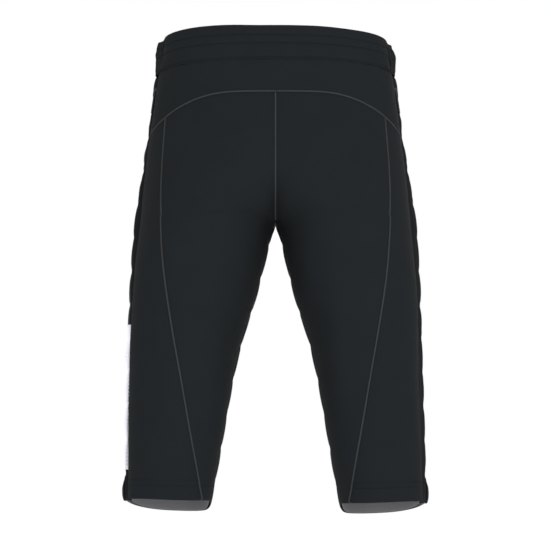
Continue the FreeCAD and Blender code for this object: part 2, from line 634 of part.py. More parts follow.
# Hang loop and blank label inside the middle of the back band
wall_y = at_level(BACK_DEPTH, -10.0) + BACK_FACING[0] - LOOP_OFF_FACING
outer_x = (LOOP_HALF, LOOP_HALF - LOOP_FLAT, LOOP_HALF - LOOP_FLAT - LOOP_SLOPE)
inner_x = (LOOP_HALF, outer_x[1] + LOOP_INNER_SHIFT, outer_x[2] + LOOP_INNER_SHIFT)
near_wall = [(outer_x[0], 0), (outer_x[1], 0), (outer_x[2], LOOP_DROP)]
near_hook = [(inner_x[0], LOOP_THICK), (inner_x[1], LOOP_THICK), (inner_x[2], LOOP_DROP + LOOP_THICK)]
corners = [(-x, y) for x, y in near_wall] + near_wall[::-1]
corners += near_hook + [(-x, y) for x, y in near_hook[::-1]]
outline = [V(x, wall_y - y, LOOP_LOW_Z) for x, y in corners]
middle["hang_loop"] = Part.Face(Part.makePolygon(outline + outline[:1])).extrude(V(0, 0, LOOP_WIDTH))
label_y = wall_y - LABEL_OFF_LOOP
middle["blank_label"] = block((-LABEL_HALF, LABEL_HALF), (label_y - LABEL_THICK, label_y), LABEL_Z)

# White stripe on the outside of the left front panel
middle["left_side_stripe"] = panel(zip_edge(STRIPE_FRONT_Y), zip_edge(-VALLEY - 0.4),
                                   just(STRIPE_Z[0]), just(STRIPE_Z[1]),
                                   lambda u, z: puff(u, z) + LAYER_GAP,
                                   lambda u, z: puff(u, z) + LAYER_GAP + STRIPE_THICKNESS,
                                   rows=10, columns=3)

# ---------------------------------------------------------------- output
nodes = dict(middle)
for name, shape in left.items():
    nodes["left_" + name] = shape
    nodes["right_" + name] = shape.mirror(V(0, 0, 0), V(1, 0, 0))

for name, shape in nodes.items():
    problems = [] if shape.isValid() else ["not valid"]
    problems += [] if all(s.isClosed() for s in shape.Shells) else ["open"]
    print(f"{name:26s} solids {len(shape.Solids):2d} volume {shape.Volume / 1000:8.2f} cm3", *problems)
    shape.exportStep(f"parts/{name}.step")

travel = math.degrees(math.asin((SLIDER_Z - ARC_Z) / ARC_RADIUS)
                      - math.asin((SLIDER_TRAVEL_END_Z - ARC_Z) / ARC_RADIUS))
pivot = arc_point(SLIDER_Z, mid + PIN_HEIGHT)
print(f"{len(nodes)} nodes; slider turns {travel:.4f} deg about x {ARC_X:.3f} z {ARC_Z:.3f}")
print(f"pull pivot x {pivot.x:.4f} z {pivot.z:.4f}")
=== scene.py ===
import math

import bmesh
import bpy
import numpy as np
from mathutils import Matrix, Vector
from mathutils.bvhtree import BVHTree


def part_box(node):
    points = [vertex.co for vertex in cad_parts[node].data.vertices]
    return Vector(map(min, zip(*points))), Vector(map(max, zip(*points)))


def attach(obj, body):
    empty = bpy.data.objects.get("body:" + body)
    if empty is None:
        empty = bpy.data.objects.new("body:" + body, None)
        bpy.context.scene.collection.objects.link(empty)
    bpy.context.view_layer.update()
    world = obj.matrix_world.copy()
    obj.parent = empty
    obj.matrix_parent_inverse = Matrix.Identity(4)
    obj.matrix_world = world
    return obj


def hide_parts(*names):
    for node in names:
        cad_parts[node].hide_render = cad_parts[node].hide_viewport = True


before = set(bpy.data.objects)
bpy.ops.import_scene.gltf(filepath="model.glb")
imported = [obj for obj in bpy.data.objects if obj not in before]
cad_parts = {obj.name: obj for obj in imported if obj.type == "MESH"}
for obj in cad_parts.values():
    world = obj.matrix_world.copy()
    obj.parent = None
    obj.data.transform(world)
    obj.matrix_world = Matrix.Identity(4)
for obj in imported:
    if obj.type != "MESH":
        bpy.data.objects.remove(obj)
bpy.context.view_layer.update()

# Shapes are worked out in millimetres in the frame of the CAD, and made in metres.
MM = 0.001
GARMENT = "garment"
SIDES = (("left", 1), ("right", -1))
MIRROR = np.array([-1.0, 1.0, 1.0])
ROUNDS = 14                     # enough for u and z that depend on each other to settle

# ---------------------------------------------------------------- camera
CAMERA_PLACE = (0.0, 2.7, -0.600)
CAMERA_PITCH = 6.40
CAMERA_LENS = 140.8
SENSOR = 36.0

camera_data = bpy.data.cameras.new("camera")
camera_data.lens = CAMERA_LENS
camera_data.sensor_width = SENSOR
camera = bpy.data.objects.new("camera", camera_data)
camera.location = CAMERA_PLACE
camera.rotation_euler = (math.radians(90 + CAMERA_PITCH), 0, math.pi)
bpy.context.scene.collection.objects.link(camera)
bpy.context.scene.camera = camera
bpy.context.scene.view_settings.view_transform = "Standard"

# ---------------------------------------------------------------- shape of the garment
CROTCH_Z = -234.0
CROTCH_SHARPNESS = 3.6
HEM_Z = -579.0
FRONT_HEM_DROP = 12.5
FRONT_HEM_CURVE = 2.0
INNER_HEM_CURVE = 6.0
ROUNDNESS = 2.25
BACK_DEPTH = [(0, 104), (-60, 109), (-150, 122), (-234, 118), (-300, 105),
              (-380, 89), (-480, 73), (-592, 64)]
FRONT_DEPTH = [(0, 100), (-60, 104), (-150, 108), (-234, 104), (-300, 96),
               (-380, 84), (-480, 71), (-592, 64)]
INSEAM_X = [(-234, 0), (-239, 3.2), (-250, 6.6), (-277, 13), (-328, 26), (-379, 42), (-429, 53.5),
            (-529, 71), (-592, 83)]
ARC_RADIUS = 3363.222
ARC_X = -3179.863
ARC_Z = -525.896
BAND_BOTTOM_Z, BAND_TOP_Z = -41.4, -0.3
YOKE_CENTRE_Z, YOKE_FLAT_X, YOKE_DROP = -83.0, 45.0, 42.0
YOKE_DROP_X, YOKE_CURVE = 115.0, 2.4
SIDE_SEAM_X = [(-110, 136.5), (-205, 141), (-285, 137), (-366, 126.5),
               (-453, 111.5), (-540, 96), (-580, 90.5)]
CENTRE_SEAM_END_Z = -200.0
CENTRE_SEAM_RUN_ON = 31.0       # the binding thins out into the crotch
SEAM_GAP = 0.25
QUILT_PUFF = [(-45, 5.0), (-110, 3.6), (-175, 5.4), (-228, 8.4), (-290, 7.0),
              (-360, 5.0), (-450, 4.4), (-592, 5.4)]
PUFF_AT_INSEAM = 0.4
VALLEY = 7.2
ZIP_DEPTH = 3.1


def at_level(levels, z):
    """Smooth values at heights, by cubic pieces through the levels."""
    p = np.array(sorted(levels), float)
    slopes = np.empty(len(p))
    slopes[1:-1] = (p[2:, 1] - p[:-2, 1]) / (p[2:, 0] - p[:-2, 0])
    slopes[0] = (p[1, 1] - p[0, 1]) / (p[1, 0] - p[0, 0])
    slopes[-1] = (p[-1, 1] - p[-2, 1]) / (p[-1, 0] - p[-2, 0])
    z = np.asarray(z, float)
    inside = np.clip(z, p[0, 0], p[-1, 0])
    i = np.clip(np.searchsorted(p[:, 0], inside, side="right") - 1, 0, len(p) - 2)
    h = p[i + 1, 0] - p[i, 0]
    s = (inside - p[i, 0]) / h
    near = (2 * s + 1) * (1 - s) ** 2 * p[i, 1] + s * (1 - s) ** 2 * h * slopes[i]
    far = s * s * (3 - 2 * s) * p[i + 1, 1] - s * s * (1 - s) * h * slopes[i + 1]
    outside = (z - inside) * np.where(z < inside, slopes[0], slopes[-1])
    return near + far + outside


def section(z):
    """Centre x, half width, back depth and front depth of the left half at heights."""
    z = np.asarray(z, float)
    x = ARC_X + np.sqrt(ARC_RADIUS ** 2 - (z - ARC_Z) ** 2)
    split = np.clip(z / CROTCH_Z, 0.0, 1.0) ** CROTCH_SHARPNESS
    inner = at_level(INSEAM_X, z)
    above = z > CROTCH_Z
    half = np.where(above, x / (1 + split), (x - inner) / 2)
    centre = np.where(above, split * half, (x + inner) / 2)
    return centre, half, at_level(BACK_DEPTH, z), at_level(FRONT_DEPTH, z)


def last_angle(centre, half):
    """Angle of the section curve where the left half ends."""
    ratio = np.clip(centre / half, 0.0, 1.0)
    return np.where(centre >= half, math.pi, np.arccos(-(ratio ** (ROUNDNESS / 2))))


def place(u, z, t=0.0):
    """Points of the left half: u is 0 at the side, 1 at the middle of the back or the
    inseam, and -1 there on the front. t is the distance out from the section curve."""
    u, z, t = np.broadcast_arrays(*(np.asarray(v, float) for v in (u, z, t)))
    centre, half, back, front = section(z)
    angle = np.abs(u) * last_angle(centre, half + t)
    c, s = np.cos(angle), np.sin(angle)
    x = centre + (half + t) * np.copysign(np.abs(c) ** (2 / ROUNDNESS), c)
    depth = np.where(u >= 0, back + t, -(front + t))
    y = depth * np.abs(s) ** (2 / ROUNDNESS)
    return np.stack([x, y, z], axis=-1)


def u_at_x(x, z):
    """u of the places on the back at x and z."""
    centre, half, _, _ = section(z)
    q = np.clip((x - centre) / half, -1.0, 1.0)
    c = np.copysign(np.abs(q) ** (ROUNDNESS / 2), q)
    return np.arccos(c) / last_angle(centre, half)


def u_at_y(y, z):
    """u of the places beside the zip at y and z; y is below 0 on the front."""
    centre, half, back, front = section(z)
    depth = back if y >= 0 else front
    angle = np.arcsin((abs(y) / depth) ** (ROUNDNESS / 2))
    return np.copysign(angle / last_angle(centre, half), y)


def speed(u, z):
    """Millimetres along the surface for one unit of u."""
    step = 0.002
    return np.linalg.norm(place(u, z) - place(u - step, z), axis=-1) / step


def yoke_z(x):
    drop = np.maximum(np.abs(x) - YOKE_FLAT_X, 0.0) / YOKE_DROP_X
    return YOKE_CENTRE_Z - YOKE_DROP * drop ** YOKE_CURVE


def hem_z(u):
    """Height of the hem: level at the back, lower on the front."""
    u = np.asarray(u, float)
    away = 2 * np.abs(u) - 1
    curve = np.where(away > 0, INNER_HEM_CURVE, FRONT_HEM_CURVE)
    front = HEM_Z - FRONT_HEM_DROP * (1 - np.abs(away) ** curve)
    return np.where(u >= 0, HEM_Z, front)


def smooth(value, low, high):
    """0 below low, 1 above high, and a smooth step between them."""
    s = np.clip((value - low) / (high - low), 0.0, 1.0)
    return s * s * (3 - 2 * s)


def bump(distance, width):
    return np.exp(-(distance / width) ** 2)


def puff(u, z):
    fade = smooth(np.abs(u), 0.55, 1.0)
    return at_level(QUILT_PUFF, z) * (1 - fade) + PUFF_AT_INSEAM * fade


def side_seam_u(z):
    return u_at_x(at_level(SIDE_SEAM_X, z), z)


# The garment isn't quite symmetric: how far each leg's outer side stands out, and how its hem hangs.
OUT_LEFT = [(-60, 0), (-95, 0), (-125, 0.8), (-173, 0.6), (-225, -0.2), (-249, 0.2), (-272, 1.4),
            (-310, 2.1), (-391, 2.2), (-430, 1.2), (-475, 1.0), (-515, 0.3), (-579, 0)]
OUT_RIGHT = [(-60, 0), (-95, 0), (-120, -0.5), (-173, 0.4), (-223, -0.3), (-269, 0), (-315, 1.0),
             (-350, 0.4), (-391, -1.8), (-430, -3.2), (-475, -2.5), (-530, -1.2), (-579, 0)]
RAISE_LEFT = (-0.3, 1.9)        # at the inseam and at the outer side of the hem
RAISE_RIGHT = (-3.6, -1.3)
OUTER_SIDE_X = (105, 178)       # the outer side's share grows from 0 to 1 between these
RAISED_BELOW = (470, 579)       # depths under the waist where the hem's hang sets in and is full
STILL_BESIDE_ZIP = 10           # the widths fade in this far from the zip's edge


def as_worn(points):
    """Moves points by the garment's asymmetry."""
    x, y, z = points.T
    on_left = x > 0
    side = smooth(np.abs(x), *OUTER_SIDE_X)
    off_zip = smooth(np.abs(y), VALLEY, VALLEY + STILL_BESIDE_ZIP)
    out = np.where(on_left, at_level(OUT_LEFT, z), -at_level(OUT_RIGHT, z))
    inner = np.where(on_left, RAISE_LEFT[0], RAISE_RIGHT[0])
    outer = np.where(on_left, RAISE_LEFT[1], RAISE_RIGHT[1])
    moved = points.copy()
    moved[:, 0] += out * side * off_zip
    moved[:, 2] += (inner + (outer - inner) * side) * smooth(-z, *RAISED_BELOW)
    return moved


# ---------------------------------------------------------------- cloth surfaces
SHELL_THICKNESS = 1.8
HEM_FOLD = 26.0                 # height of the turned-up hem
HEM_FOLD_EXTRA = 0.5
HEM_ROWS = (17.0, 23.3)         # heights of the two stitch rows over the hem
HEM_ROW_DEPTH, HEM_ROW_WIDTH = 0.45, 1.6
SEAM_DEPTH, SEAM_WIDTH = 0.75, 3.2


def seam_dip(distance):
    return -SEAM_DEPTH * bump(distance, SEAM_WIDTH)


def in_hem_fold(z):
    """1 in the turned-up hem and 0 over it."""
    return 1 - smooth(z, HEM_Z + HEM_FOLD - 1, HEM_Z + HEM_FOLD + 2)


def back_out(u, z):
    """How far the outer face of the back and the sides lies off the section curve."""
    x = place(u, z)[..., 0]
    below = smooth(-z, 215, 330)
    fade = 1 - smooth(-z, 430, 560)
    # soft lengthwise folds under the seat, and drag lines that fan out from the crotch
    folds = 1.5 * np.sin(x / 13.5 + z / 120.0 + 0.6) * bump(x - 62 + 0.12 * (z + 234), 40)
    folds += 1.1 * np.sin(x / 9.0 - z / 70.0) * bump(x - 34 + 0.2 * (z + 234), 22)
    t = folds * below * (0.35 + 0.65 * fade)
    fan = np.arctan2(z - CROTCH_Z + 6, x + 14)
    reach = np.hypot(x, z - CROTCH_Z)
    t = t + 0.9 * np.sin(fan * 9.0) * bump(reach - 55, 42) * smooth(z, -240, -215)
    # the seat is a little fuller in the middle of each half
    t = t + 1.2 * bump(x - 74, 44) * bump(z + 172, 60)
    # slow unevenness of the cloth
    t = t + 0.45 * np.sin(x / 31.0 + z / 47.0) * np.sin(z / 83.0 + 0.8)
    t = t + 0.3 * np.sin(x / 17.0 - z / 29.0 + 1.9)
    t = t * smooth(u, 0.02, 0.22)
    t = t + seam_dip(z - yoke_z(x))
    beside = (u - side_seam_u(z)) * speed(np.maximum(u, 0.05), z)
    t = t + seam_dip(beside) * (z < yoke_z(x))
    t = t - SEAM_DEPTH * bump(x, 3.4) * smooth(-z, 80, 90) * (1 - smooth(-z, 228, 242))
    # the small crease that the seam ends in
    t = t - 2.2 * bump(x - 2, 5) * bump(z + 219, 9) + 0.9 * bump(x - 11, 6) * bump(z + 224, 10)
    # the turned-up hem is two layers thick, and dips at its stitching
    t = t + HEM_FOLD_EXTRA * in_hem_fold(z)
    for row in HEM_ROWS:
        t = t - HEM_ROW_DEPTH * bump(z - HEM_Z - row, HEM_ROW_WIDTH)
    return t + 0.5 * np.sin(x / 8.0 + z / 60.0) * (1 - smooth(z, HEM_Z, HEM_Z + 18))


# Quilting: lines a constant way apart, measured at the side
QUILT_FIRST_Z = -77.6
QUILT_PITCH = 42.6
QUILT_LINES = 12
QUILT_DIP = 9.0                 # the lines drop this much towards the middle
QUILT_SEAM_DEPTH = 2.9
QUILT_CREST = 1.4
SEAM_DEPTH_AT_EDGE = 0.9
CREST_AT_EDGE = 0.5


def free_to_puff(u):
    """The quilting is held flatter beside the zip and towards the inseam."""
    return smooth(np.abs(u), 0.03, 0.16) * (1 - smooth(np.abs(u), 0.66, 0.97))


def quilt_z(k, u):
    """Height of quilt line k, counted from the waist down."""
    return QUILT_FIRST_Z - QUILT_PITCH * k - QUILT_DIP * np.sin(np.abs(u) * math.pi * 0.5) ** 2


def front_out(u, z):
    """Outer face of the quilted front before its cloth is simulated."""
    phase = (quilt_z(0, u) - z) / QUILT_PITCH
    loft = np.abs(np.sin(phase * math.pi)) ** 0.7
    free = free_to_puff(u)
    seam = -(SEAM_DEPTH_AT_EDGE + (QUILT_SEAM_DEPTH - SEAM_DEPTH_AT_EDGE) * free)
    crest = CREST_AT_EDGE + (QUILT_CREST - CREST_AT_EDGE) * free
    return puff(u, z) + seam + (crest - seam) * loft


# ---------------------------------------------------------------- materials
def material(name):
    made = bpy.data.materials.new(name)
    made.use_nodes = True
    nodes, links = made.node_tree.nodes, made.node_tree.links
    return made, nodes, links, nodes["Principled BSDF"]


def add(nodes, kind, **values):
    node = nodes.new(kind)
    for key, value in values.items():
        if hasattr(node, key):
            setattr(node, key, value)
        else:
            node.inputs[key.replace("_", " ").title()].default_value = value
    return node


def shade(colour, factor):
    return tuple(min(c * factor, 1.0) for c in colour) + (1.0,)


def mixed(nodes, links, fac, low, high):
    """A colour between low and high."""
    ramp = nodes.new("ShaderNodeMix")
    ramp.data_type = "RGBA"
    links.new(fac, ramp.inputs[0])
    ramp.inputs[6].default_value = low
    ramp.inputs[7].default_value = high
    return ramp.outputs[2]


def noise(nodes, links, scale, detail):
    where = add(nodes, "ShaderNodeTexCoord")
    made = add(nodes, "ShaderNodeTexNoise", scale=scale, detail=detail)
    links.new(where.outputs["Object"], made.inputs["Vector"])
    return made.outputs[0]


def surface(nodes, links, shader, height, strength, depth, grain, rough):
    """Raises the surface by height, to a depth in millimetres, and varies its roughness with the grain."""
    lift = add(nodes, "ShaderNodeBump")
    lift.inputs["Strength"].default_value = strength
    lift.inputs["Distance"].default_value = depth * MM
    links.new(height, lift.inputs["Height"])
    links.new(lift.outputs[0], shader.inputs["Normal"])
    span = add(nodes, "ShaderNodeMapRange")
    span.inputs["To Min"].default_value = rough[0]
    span.inputs["To Max"].default_value = rough[1]
    links.new(grain, span.inputs["Value"])
    links.new(span.outputs[0], shader.inputs["Roughness"])


def maths(nodes, links, operation, a, b):
    node = nodes.new("ShaderNodeMath")
    node.operation = operation
    for socket, value in zip(node.inputs, (a, b)):
        if isinstance(value, (int, float)):
            socket.default_value = value
        else:
            links.new(value, socket)
    return node.outputs[0]


WAVE_PERIOD = 2 * math.pi / 20   # period of a wave texture whose scale is 1


def fabric(name, colour, thread=0.9, pattern="twill", depth=0.10, rough=(0.80, 0.94), sheen=0.0,
           mottle=0.08, rib=1.0, gap_shade=0.5, shine=0.02):
    """A woven or knitted cloth. thread is the width of one thread in millimetres, and gap_shade is how much
    darker the cloth is painted between its threads, as painted shade in the hollows of the weave."""
    made, nodes, links, shader = material(name)
    uv = add(nodes, "ShaderNodeUVMap", uv_map="cloth")
    turned = add(nodes, "ShaderNodeMapping")
    turned.inputs["Rotation"].default_value = (0, 0, math.radians(45 if pattern == "twill" else 0))
    links.new(uv.outputs[0], turned.inputs["Vector"])
    waves = []
    for direction in ("X", "Y"):
        wave = add(nodes, "ShaderNodeTexWave", bands_direction=direction, wave_profile="SIN")
        period = thread * MM * (rib if direction == "Y" else 1.0)
        wave.inputs["Scale"].default_value = WAVE_PERIOD / period
        wave.inputs["Distortion"].default_value = 0.35
        wave.inputs["Detail"].default_value = 1.0
        links.new(turned.outputs[0], wave.inputs["Vector"])
        waves.append(wave.outputs["Fac"])
    operation = {"plain": "MULTIPLY", "knit": "MAXIMUM"}.get(pattern, "ADD")
    weave = maths(nodes, links, operation, waves[0], waves[1])
    fine = noise(nodes, links, 1600.0, 3.0)
    broad = noise(nodes, links, 26.0, 4.0)
    fuzz = maths(nodes, links, "MULTIPLY", fine, 0.6)
    height = maths(nodes, links, "ADD", weave, fuzz)
    surface(nodes, links, shader, height, 0.55, depth, fine, rough)
    mottled = mixed(nodes, links, broad, shade(colour, 1 - mottle), shade(colour, 1 + mottle))
    # painted shade: the cloth's colour is made darker where the weave is low, in the hollows between its
    # threads
    threads = nodes.new("ShaderNodeMix")
    threads.data_type = "RGBA"
    threads.blend_type = "MULTIPLY"
    threads.inputs[0].default_value = gap_shade
    links.new(mottled, threads.inputs[6])
    weave_hollow_shade = mixed(nodes, links, weave, (0.55, 0.55, 0.55, 1), (1, 1, 1, 1))
    links.new(weave_hollow_shade, threads.inputs[7])
    links.new(threads.outputs[2], shader.inputs["Base Color"])
    shader.inputs["Sheen Weight"].default_value = sheen
    shader.inputs["Sheen Roughness"].default_value = 0.45
    shader.inputs["Specular IOR Level"].default_value = shine
    return made


def hard(name, colour, rough=(0.3, 0.45), metallic=0.0, grain=900.0, depth=0.03, shine=0.5):
    """Moulded plastic or painted metal, with a fine grain."""
    made, nodes, links, shader = material(name)
    fine = noise(nodes, links, grain, 4.0)
    surface(nodes, links, shader, fine, 0.3, depth, fine, rough)
    base = mixed(nodes, links, fine, shade(colour, 0.9), shade(colour, 1.1))
    links.new(base, shader.inputs["Base Color"])
    shader.inputs["Metallic"].default_value = metallic
    shader.inputs["Specular IOR Level"].default_value = shine
    return made


BLACK = (0.0118, 0.0136, 0.0151)
SOFTSHELL = fabric("softshell", BLACK, thread=0.8)
FLEECE = fabric("fleece_back", (0.045, 0.047, 0.050), thread=1.3, pattern="knit", depth=0.25,
                sheen=0.1, rough=(0.85, 0.95))
QUILT = fabric("ripstop", (0.0108, 0.0124, 0.0137), thread=0.5, pattern="plain", depth=0.06,
               rough=(0.50, 0.64), shine=0.09)
BAND = fabric("band_cloth", (0.0117, 0.0135, 0.0149), thread=0.8)
ELASTIC = fabric("ribbed_elastic", (0.016, 0.016, 0.018), thread=1.6, pattern="knit", depth=0.4, rib=0.5)
FACING = fabric("facing_tricot", (0.110, 0.112, 0.120), thread=0.9, pattern="knit", depth=0.18, sheen=0.1)
LINING = fabric("lining_tricot", (0.145, 0.145, 0.153), thread=0.9, pattern="knit", depth=0.15, sheen=0.1)
PIPING = fabric("seam_binding", (0.035, 0.037, 0.040), thread=1.1, pattern="plain", depth=0.2, gap_shade=0.3)
TAPE = fabric("zip_tape", (0.0115, 0.0130, 0.0145), thread=0.7, pattern="twill", depth=0.2)
STRIPE = fabric("stripe_print", (0.78, 0.77, 0.84), thread=0.6, pattern="plain", depth=0.05, mottle=0.03,
                gap_shade=0.12, rough=(0.4, 0.55), shine=0.25)
FOAM = fabric("pad_cover", (0.050, 0.052, 0.055), thread=1.2, pattern="knit", depth=0.3, sheen=0.1)
MESH = fabric("pocket_mesh", (0.035, 0.036, 0.039), thread=2.0, pattern="knit", depth=0.5, gap_shade=0.9)
LABEL = fabric("satin_label", (0.72, 0.72, 0.70), thread=0.5, pattern="plain", depth=0.05, mottle=0.03,
               gap_shade=0.12, rough=(0.35, 0.5), shine=0.3)
WEBBING = fabric("loop_webbing", (0.015, 0.016, 0.018), thread=1.4, pattern="twill", depth=0.3)
THREAD_BLACK = fabric("thread_black", (0.0075, 0.0085, 0.0095), thread=0.5, depth=0.1)
THREAD_GREY = fabric("thread_grey", (0.045, 0.047, 0.050), thread=0.5, depth=0.1)
THREAD_DARK = fabric("thread_stripe", (0.10, 0.10, 0.12), thread=0.5, depth=0.1)
TAB = hard("moulded_tab", (0.0125, 0.0140, 0.0155), rough=(0.6, 0.75), grain=1400.0, depth=0.06,
           shine=0.15)
TEETH = hard("moulded_teeth", (0.010, 0.010, 0.011), rough=(0.22, 0.34))
METAL = hard("painted_metal", (0.020, 0.021, 0.022), rough=(0.30, 0.42), metallic=0.35, shine=0.35)
SNAP = hard("snap_metal", (0.040, 0.041, 0.043), rough=(0.26, 0.38), metallic=0.6, shine=0.4)


# ---------------------------------------------------------------- making meshes
def mirrored(points, faces):
    """The mirror image, on the wearer's right."""
    return points * MIRROR, [face[::-1] for face in faces]


def new_object(name, points, faces, materials, uv=None, face_material=None, worn=True):
    """A smooth mesh object. worn gives it the garment's asymmetry."""
    mesh = bpy.data.meshes.new(name)
    points = np.asarray(points, float)
    mesh.from_pydata(((as_worn(points) if worn else points) * MM).tolist(), [], faces)
    for m in materials:
        mesh.materials.append(m)
    if face_material is not None:
        mesh.polygons.foreach_set("material_index", face_material)
    mesh.polygons.foreach_set("use_smooth", [True] * len(mesh.polygons))
    layer = mesh.uv_layers.new(name="cloth")
    if uv is None:
        uv = points[:, [0, 2]]
    corner = np.zeros(len(mesh.loops), np.int32)
    mesh.loops.foreach_get("vertex_index", corner)
    layer.data.foreach_set("uv", (np.asarray(uv)[corner] * MM).ravel())
    mesh.update()
    made = bpy.data.objects.new(name, mesh)
    bpy.context.scene.collection.objects.link(made)
    return made


def lengths(grid):
    """Distances along the rows and the columns of a grid of points."""
    across = np.linalg.norm(np.diff(grid, axis=1), axis=2)
    along = np.linalg.norm(np.diff(grid, axis=0), axis=2)
    u = np.concatenate([np.zeros((grid.shape[0], 1)), np.cumsum(across, axis=1)], axis=1)
    v = np.concatenate([np.zeros((1, grid.shape[1])), np.cumsum(along, axis=0)], axis=0)
    u = u - u[:, u.shape[1] // 2][:, None]
    return np.stack([u, v], axis=-1)


def corners(grid):
    """The four corners of every cell of a grid."""
    return grid[:-1, :-1], grid[:-1, 1:], grid[1:, 1:], grid[1:, :-1]


def grid_quads(rows, columns):
    index = np.arange(rows * columns).reshape(rows, columns)
    return index, np.stack(corners(index), axis=-1).reshape(-1, 4)


def cloth_piece(name, outer, inner, materials, bulge=0.25, subdivide=1, sign=1):
    """A closed sheet between two grids of points, with a rounded rim.
    sign -1 makes the mirror image, on the wearer's right."""
    index, quads = grid_quads(*outer.shape[:2])
    count = index.size
    ring = np.concatenate([index[0, :-1], index[:-1, -1], index[-1, :0:-1], index[:0:-1, 0]])
    flat_out, flat_in = outer.reshape(-1, 3), inner.reshape(-1, 3)
    middle = (flat_out[ring] + flat_in[ring]) / 2
    steps = np.roll(middle, -1, axis=0) - np.roll(middle, 1, axis=0)
    away = np.cross(flat_out[ring] - flat_in[ring], steps)
    away /= np.maximum(np.linalg.norm(away, axis=1), 1e-6)[:, None]
    centre_point = flat_out[index[1:-1, 1:-1].ravel()].mean(axis=0)
    if ((middle - centre_point) * away).sum() < 0:
        away = -away
    thick = np.linalg.norm(flat_out[ring] - flat_in[ring], axis=1)[:, None]
    rim = middle + away * thick * bulge
    points = np.concatenate([flat_out, flat_in, rim])
    uv = lengths(outer).reshape(-1, 2)
    uv = np.concatenate([uv, uv, uv[ring]])
    after = np.roll(np.arange(len(ring)), -1)
    rim_index = 2 * count + np.arange(len(ring))
    rim_out = np.stack([ring, rim_index, rim_index[after], ring[after]], axis=-1)
    rim_in = np.stack([rim_index, ring + count, ring[after] + count, rim_index[after]], axis=-1)
    faces = np.concatenate([quads, quads[:, ::-1] + count, rim_out, rim_in]).tolist()
    kinds = [0] * len(quads) + [len(materials) - 1] * len(quads) + [0] * (2 * len(ring))
    if sign < 0:
        points, faces = mirrored(points, faces)
    made = new_object(name, points, faces, materials, uv, kinds)
    outwards(made)
    if subdivide:
        rounding = made.modifiers.new("rounding", "SUBSURF")
        rounding.levels = rounding.render_levels = subdivide
    return made


def outwards(made):
    """Turns every face so that its normal points out of the closed mesh."""
    work = bmesh.new()
    work.from_mesh(made.data)
    bmesh.ops.recalc_face_normals(work, faces=work.faces)
    work.to_mesh(made.data)
    work.free()


def finish_piece(made, slot, *nodes):
    """Puts a piece on the garment, in the place of CAD nodes."""
    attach(made, GARMENT)
    if nodes:
        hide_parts(*nodes)
    return made


def sheet_piece(name, outer, inner, materials, slot, *nodes, **shape):
    """A piece of cloth, put on the garment in the place of CAD nodes."""
    made = finish_piece(cloth_piece(name, outer, inner, materials, **shape), slot, *nodes)


def normals_of(points, lifted):
    away = lifted - points
    return away / np.linalg.norm(away, axis=-1, keepdims=True)


# A stitch is a short thread, thickest in the middle, whose ends go down into the cloth.
STITCH_SIDES = 6
STITCH_REACH = 0.6              # a stitch's direction is taken this far ahead and behind
STITCH_RINGS = [(-1.0, 0.25, -0.9), (-0.72, 0.85, -0.1), (-0.3, 1.0, 0.25), (0.3, 1.0, 0.25),
                (0.72, 0.85, -0.1), (1.0, 0.25, -0.9)]


def tube_faces(rings, sides):
    """Faces between rings of points, all with the same number of sides."""
    index = np.arange(rings * sides).reshape(rings, sides)
    beside = np.roll(index, -1, axis=1)
    return np.stack([index[:-1], beside[:-1], beside[1:], index[1:]], axis=-1).reshape(-1, 4).tolist()


def stitch_mesh(centres, tangents, normals, half_length, radius):
    """Points and faces of many equal stitches."""
    beside = np.cross(normals, tangents)
    beside /= np.linalg.norm(beside, axis=1, keepdims=True)
    over = np.cross(tangents, beside)
    blocks = []
    for along, wide, high in STITCH_RINGS:
        for k in range(STITCH_SIDES):
            a = 2 * math.pi * k / STITCH_SIDES
            blocks.append(centres + tangents * along * half_length + beside * radius * wide * math.cos(a)
                          + over * radius * (wide * math.sin(a) + high))
    per = len(blocks)
    points = np.stack(blocks, axis=1).reshape(-1, 3)
    template = tube_faces(len(STITCH_RINGS), STITCH_SIDES)
    template += [list(range(STITCH_SIDES))[::-1], list(range(per - STITCH_SIDES, per))]
    return points, [[v + i * per for v in face] for i in range(len(centres)) for face in template]


def paced(path, pitch):
    """Distances travelled at the points of a path, and the middles of equal paces along it."""
    travelled = np.concatenate([[0], np.cumsum(np.linalg.norm(np.diff(path, axis=0), axis=1))])
    count = max(int(travelled[-1] / pitch), 1)
    return travelled, (np.arange(count) + 0.5) * travelled[-1] / count


def picked(table, travelled, at):
    return np.stack([np.interp(at, travelled, table[:, k]) for k in range(3)], axis=1)


def unit(vectors):
    return vectors / np.linalg.norm(vectors, axis=1, keepdims=True)


def along_path(path, outs, pitch):
    """Centres, tangents and normals at equal distances along a line of points."""
    travelled, at = paced(path, pitch)
    ahead = picked(path, travelled, np.minimum(at + STITCH_REACH, travelled[-1]))
    behind = picked(path, travelled, np.maximum(at - STITCH_REACH, 0))
    return picked(path, travelled, at), unit(ahead - behind), unit(picked(outs, travelled, at))


class Threads:
    """Gathers stitches of one colour into one piece."""

    def __init__(self):
        self.points, self.faces, self.count = [], [], 0

    def put(self, points, faces, sign=1):
        if sign < 0:
            points, faces = mirrored(points, faces)
        self.points.append(points)
        self.faces += [[v + self.count for v in face] for face in faces]
        self.count += len(points)

    def line(self, path, outs, pitch=3.2, length=2.3, radius=0.28, lift=0.1, sign=1):
        centres, tangents, outs = along_path(path, outs, pitch)
        self.put(*stitch_mesh(centres + outs * lift, tangents, outs, length / 2, radius), sign)

    def make(self, name, material_used, slot):
        finish_piece(new_object(name, np.concatenate(self.points), self.faces, [material_used]), slot)


def surface_line(u, z, out):
    """A line on a surface: its points, and which way is out at each."""
    u, z = np.broadcast_arrays(np.asarray(u, float), np.asarray(z, float))
    t = out(u, z)
    points = place(u, z, t)
    return points, normals_of(points, place(u, z, t + 1.0))


black_threads, grey_threads, stripe_threads = Threads(), Threads(), Threads()

# ---------------------------------------------------------------- back, sides and yoke
def shares(rows, columns):
    """Shares from 0 to 1 down the rows and along the columns of a grid."""
    return np.linspace(0, 1, rows + 1)[:, None], np.linspace(0, 1, columns + 1)[None, :]


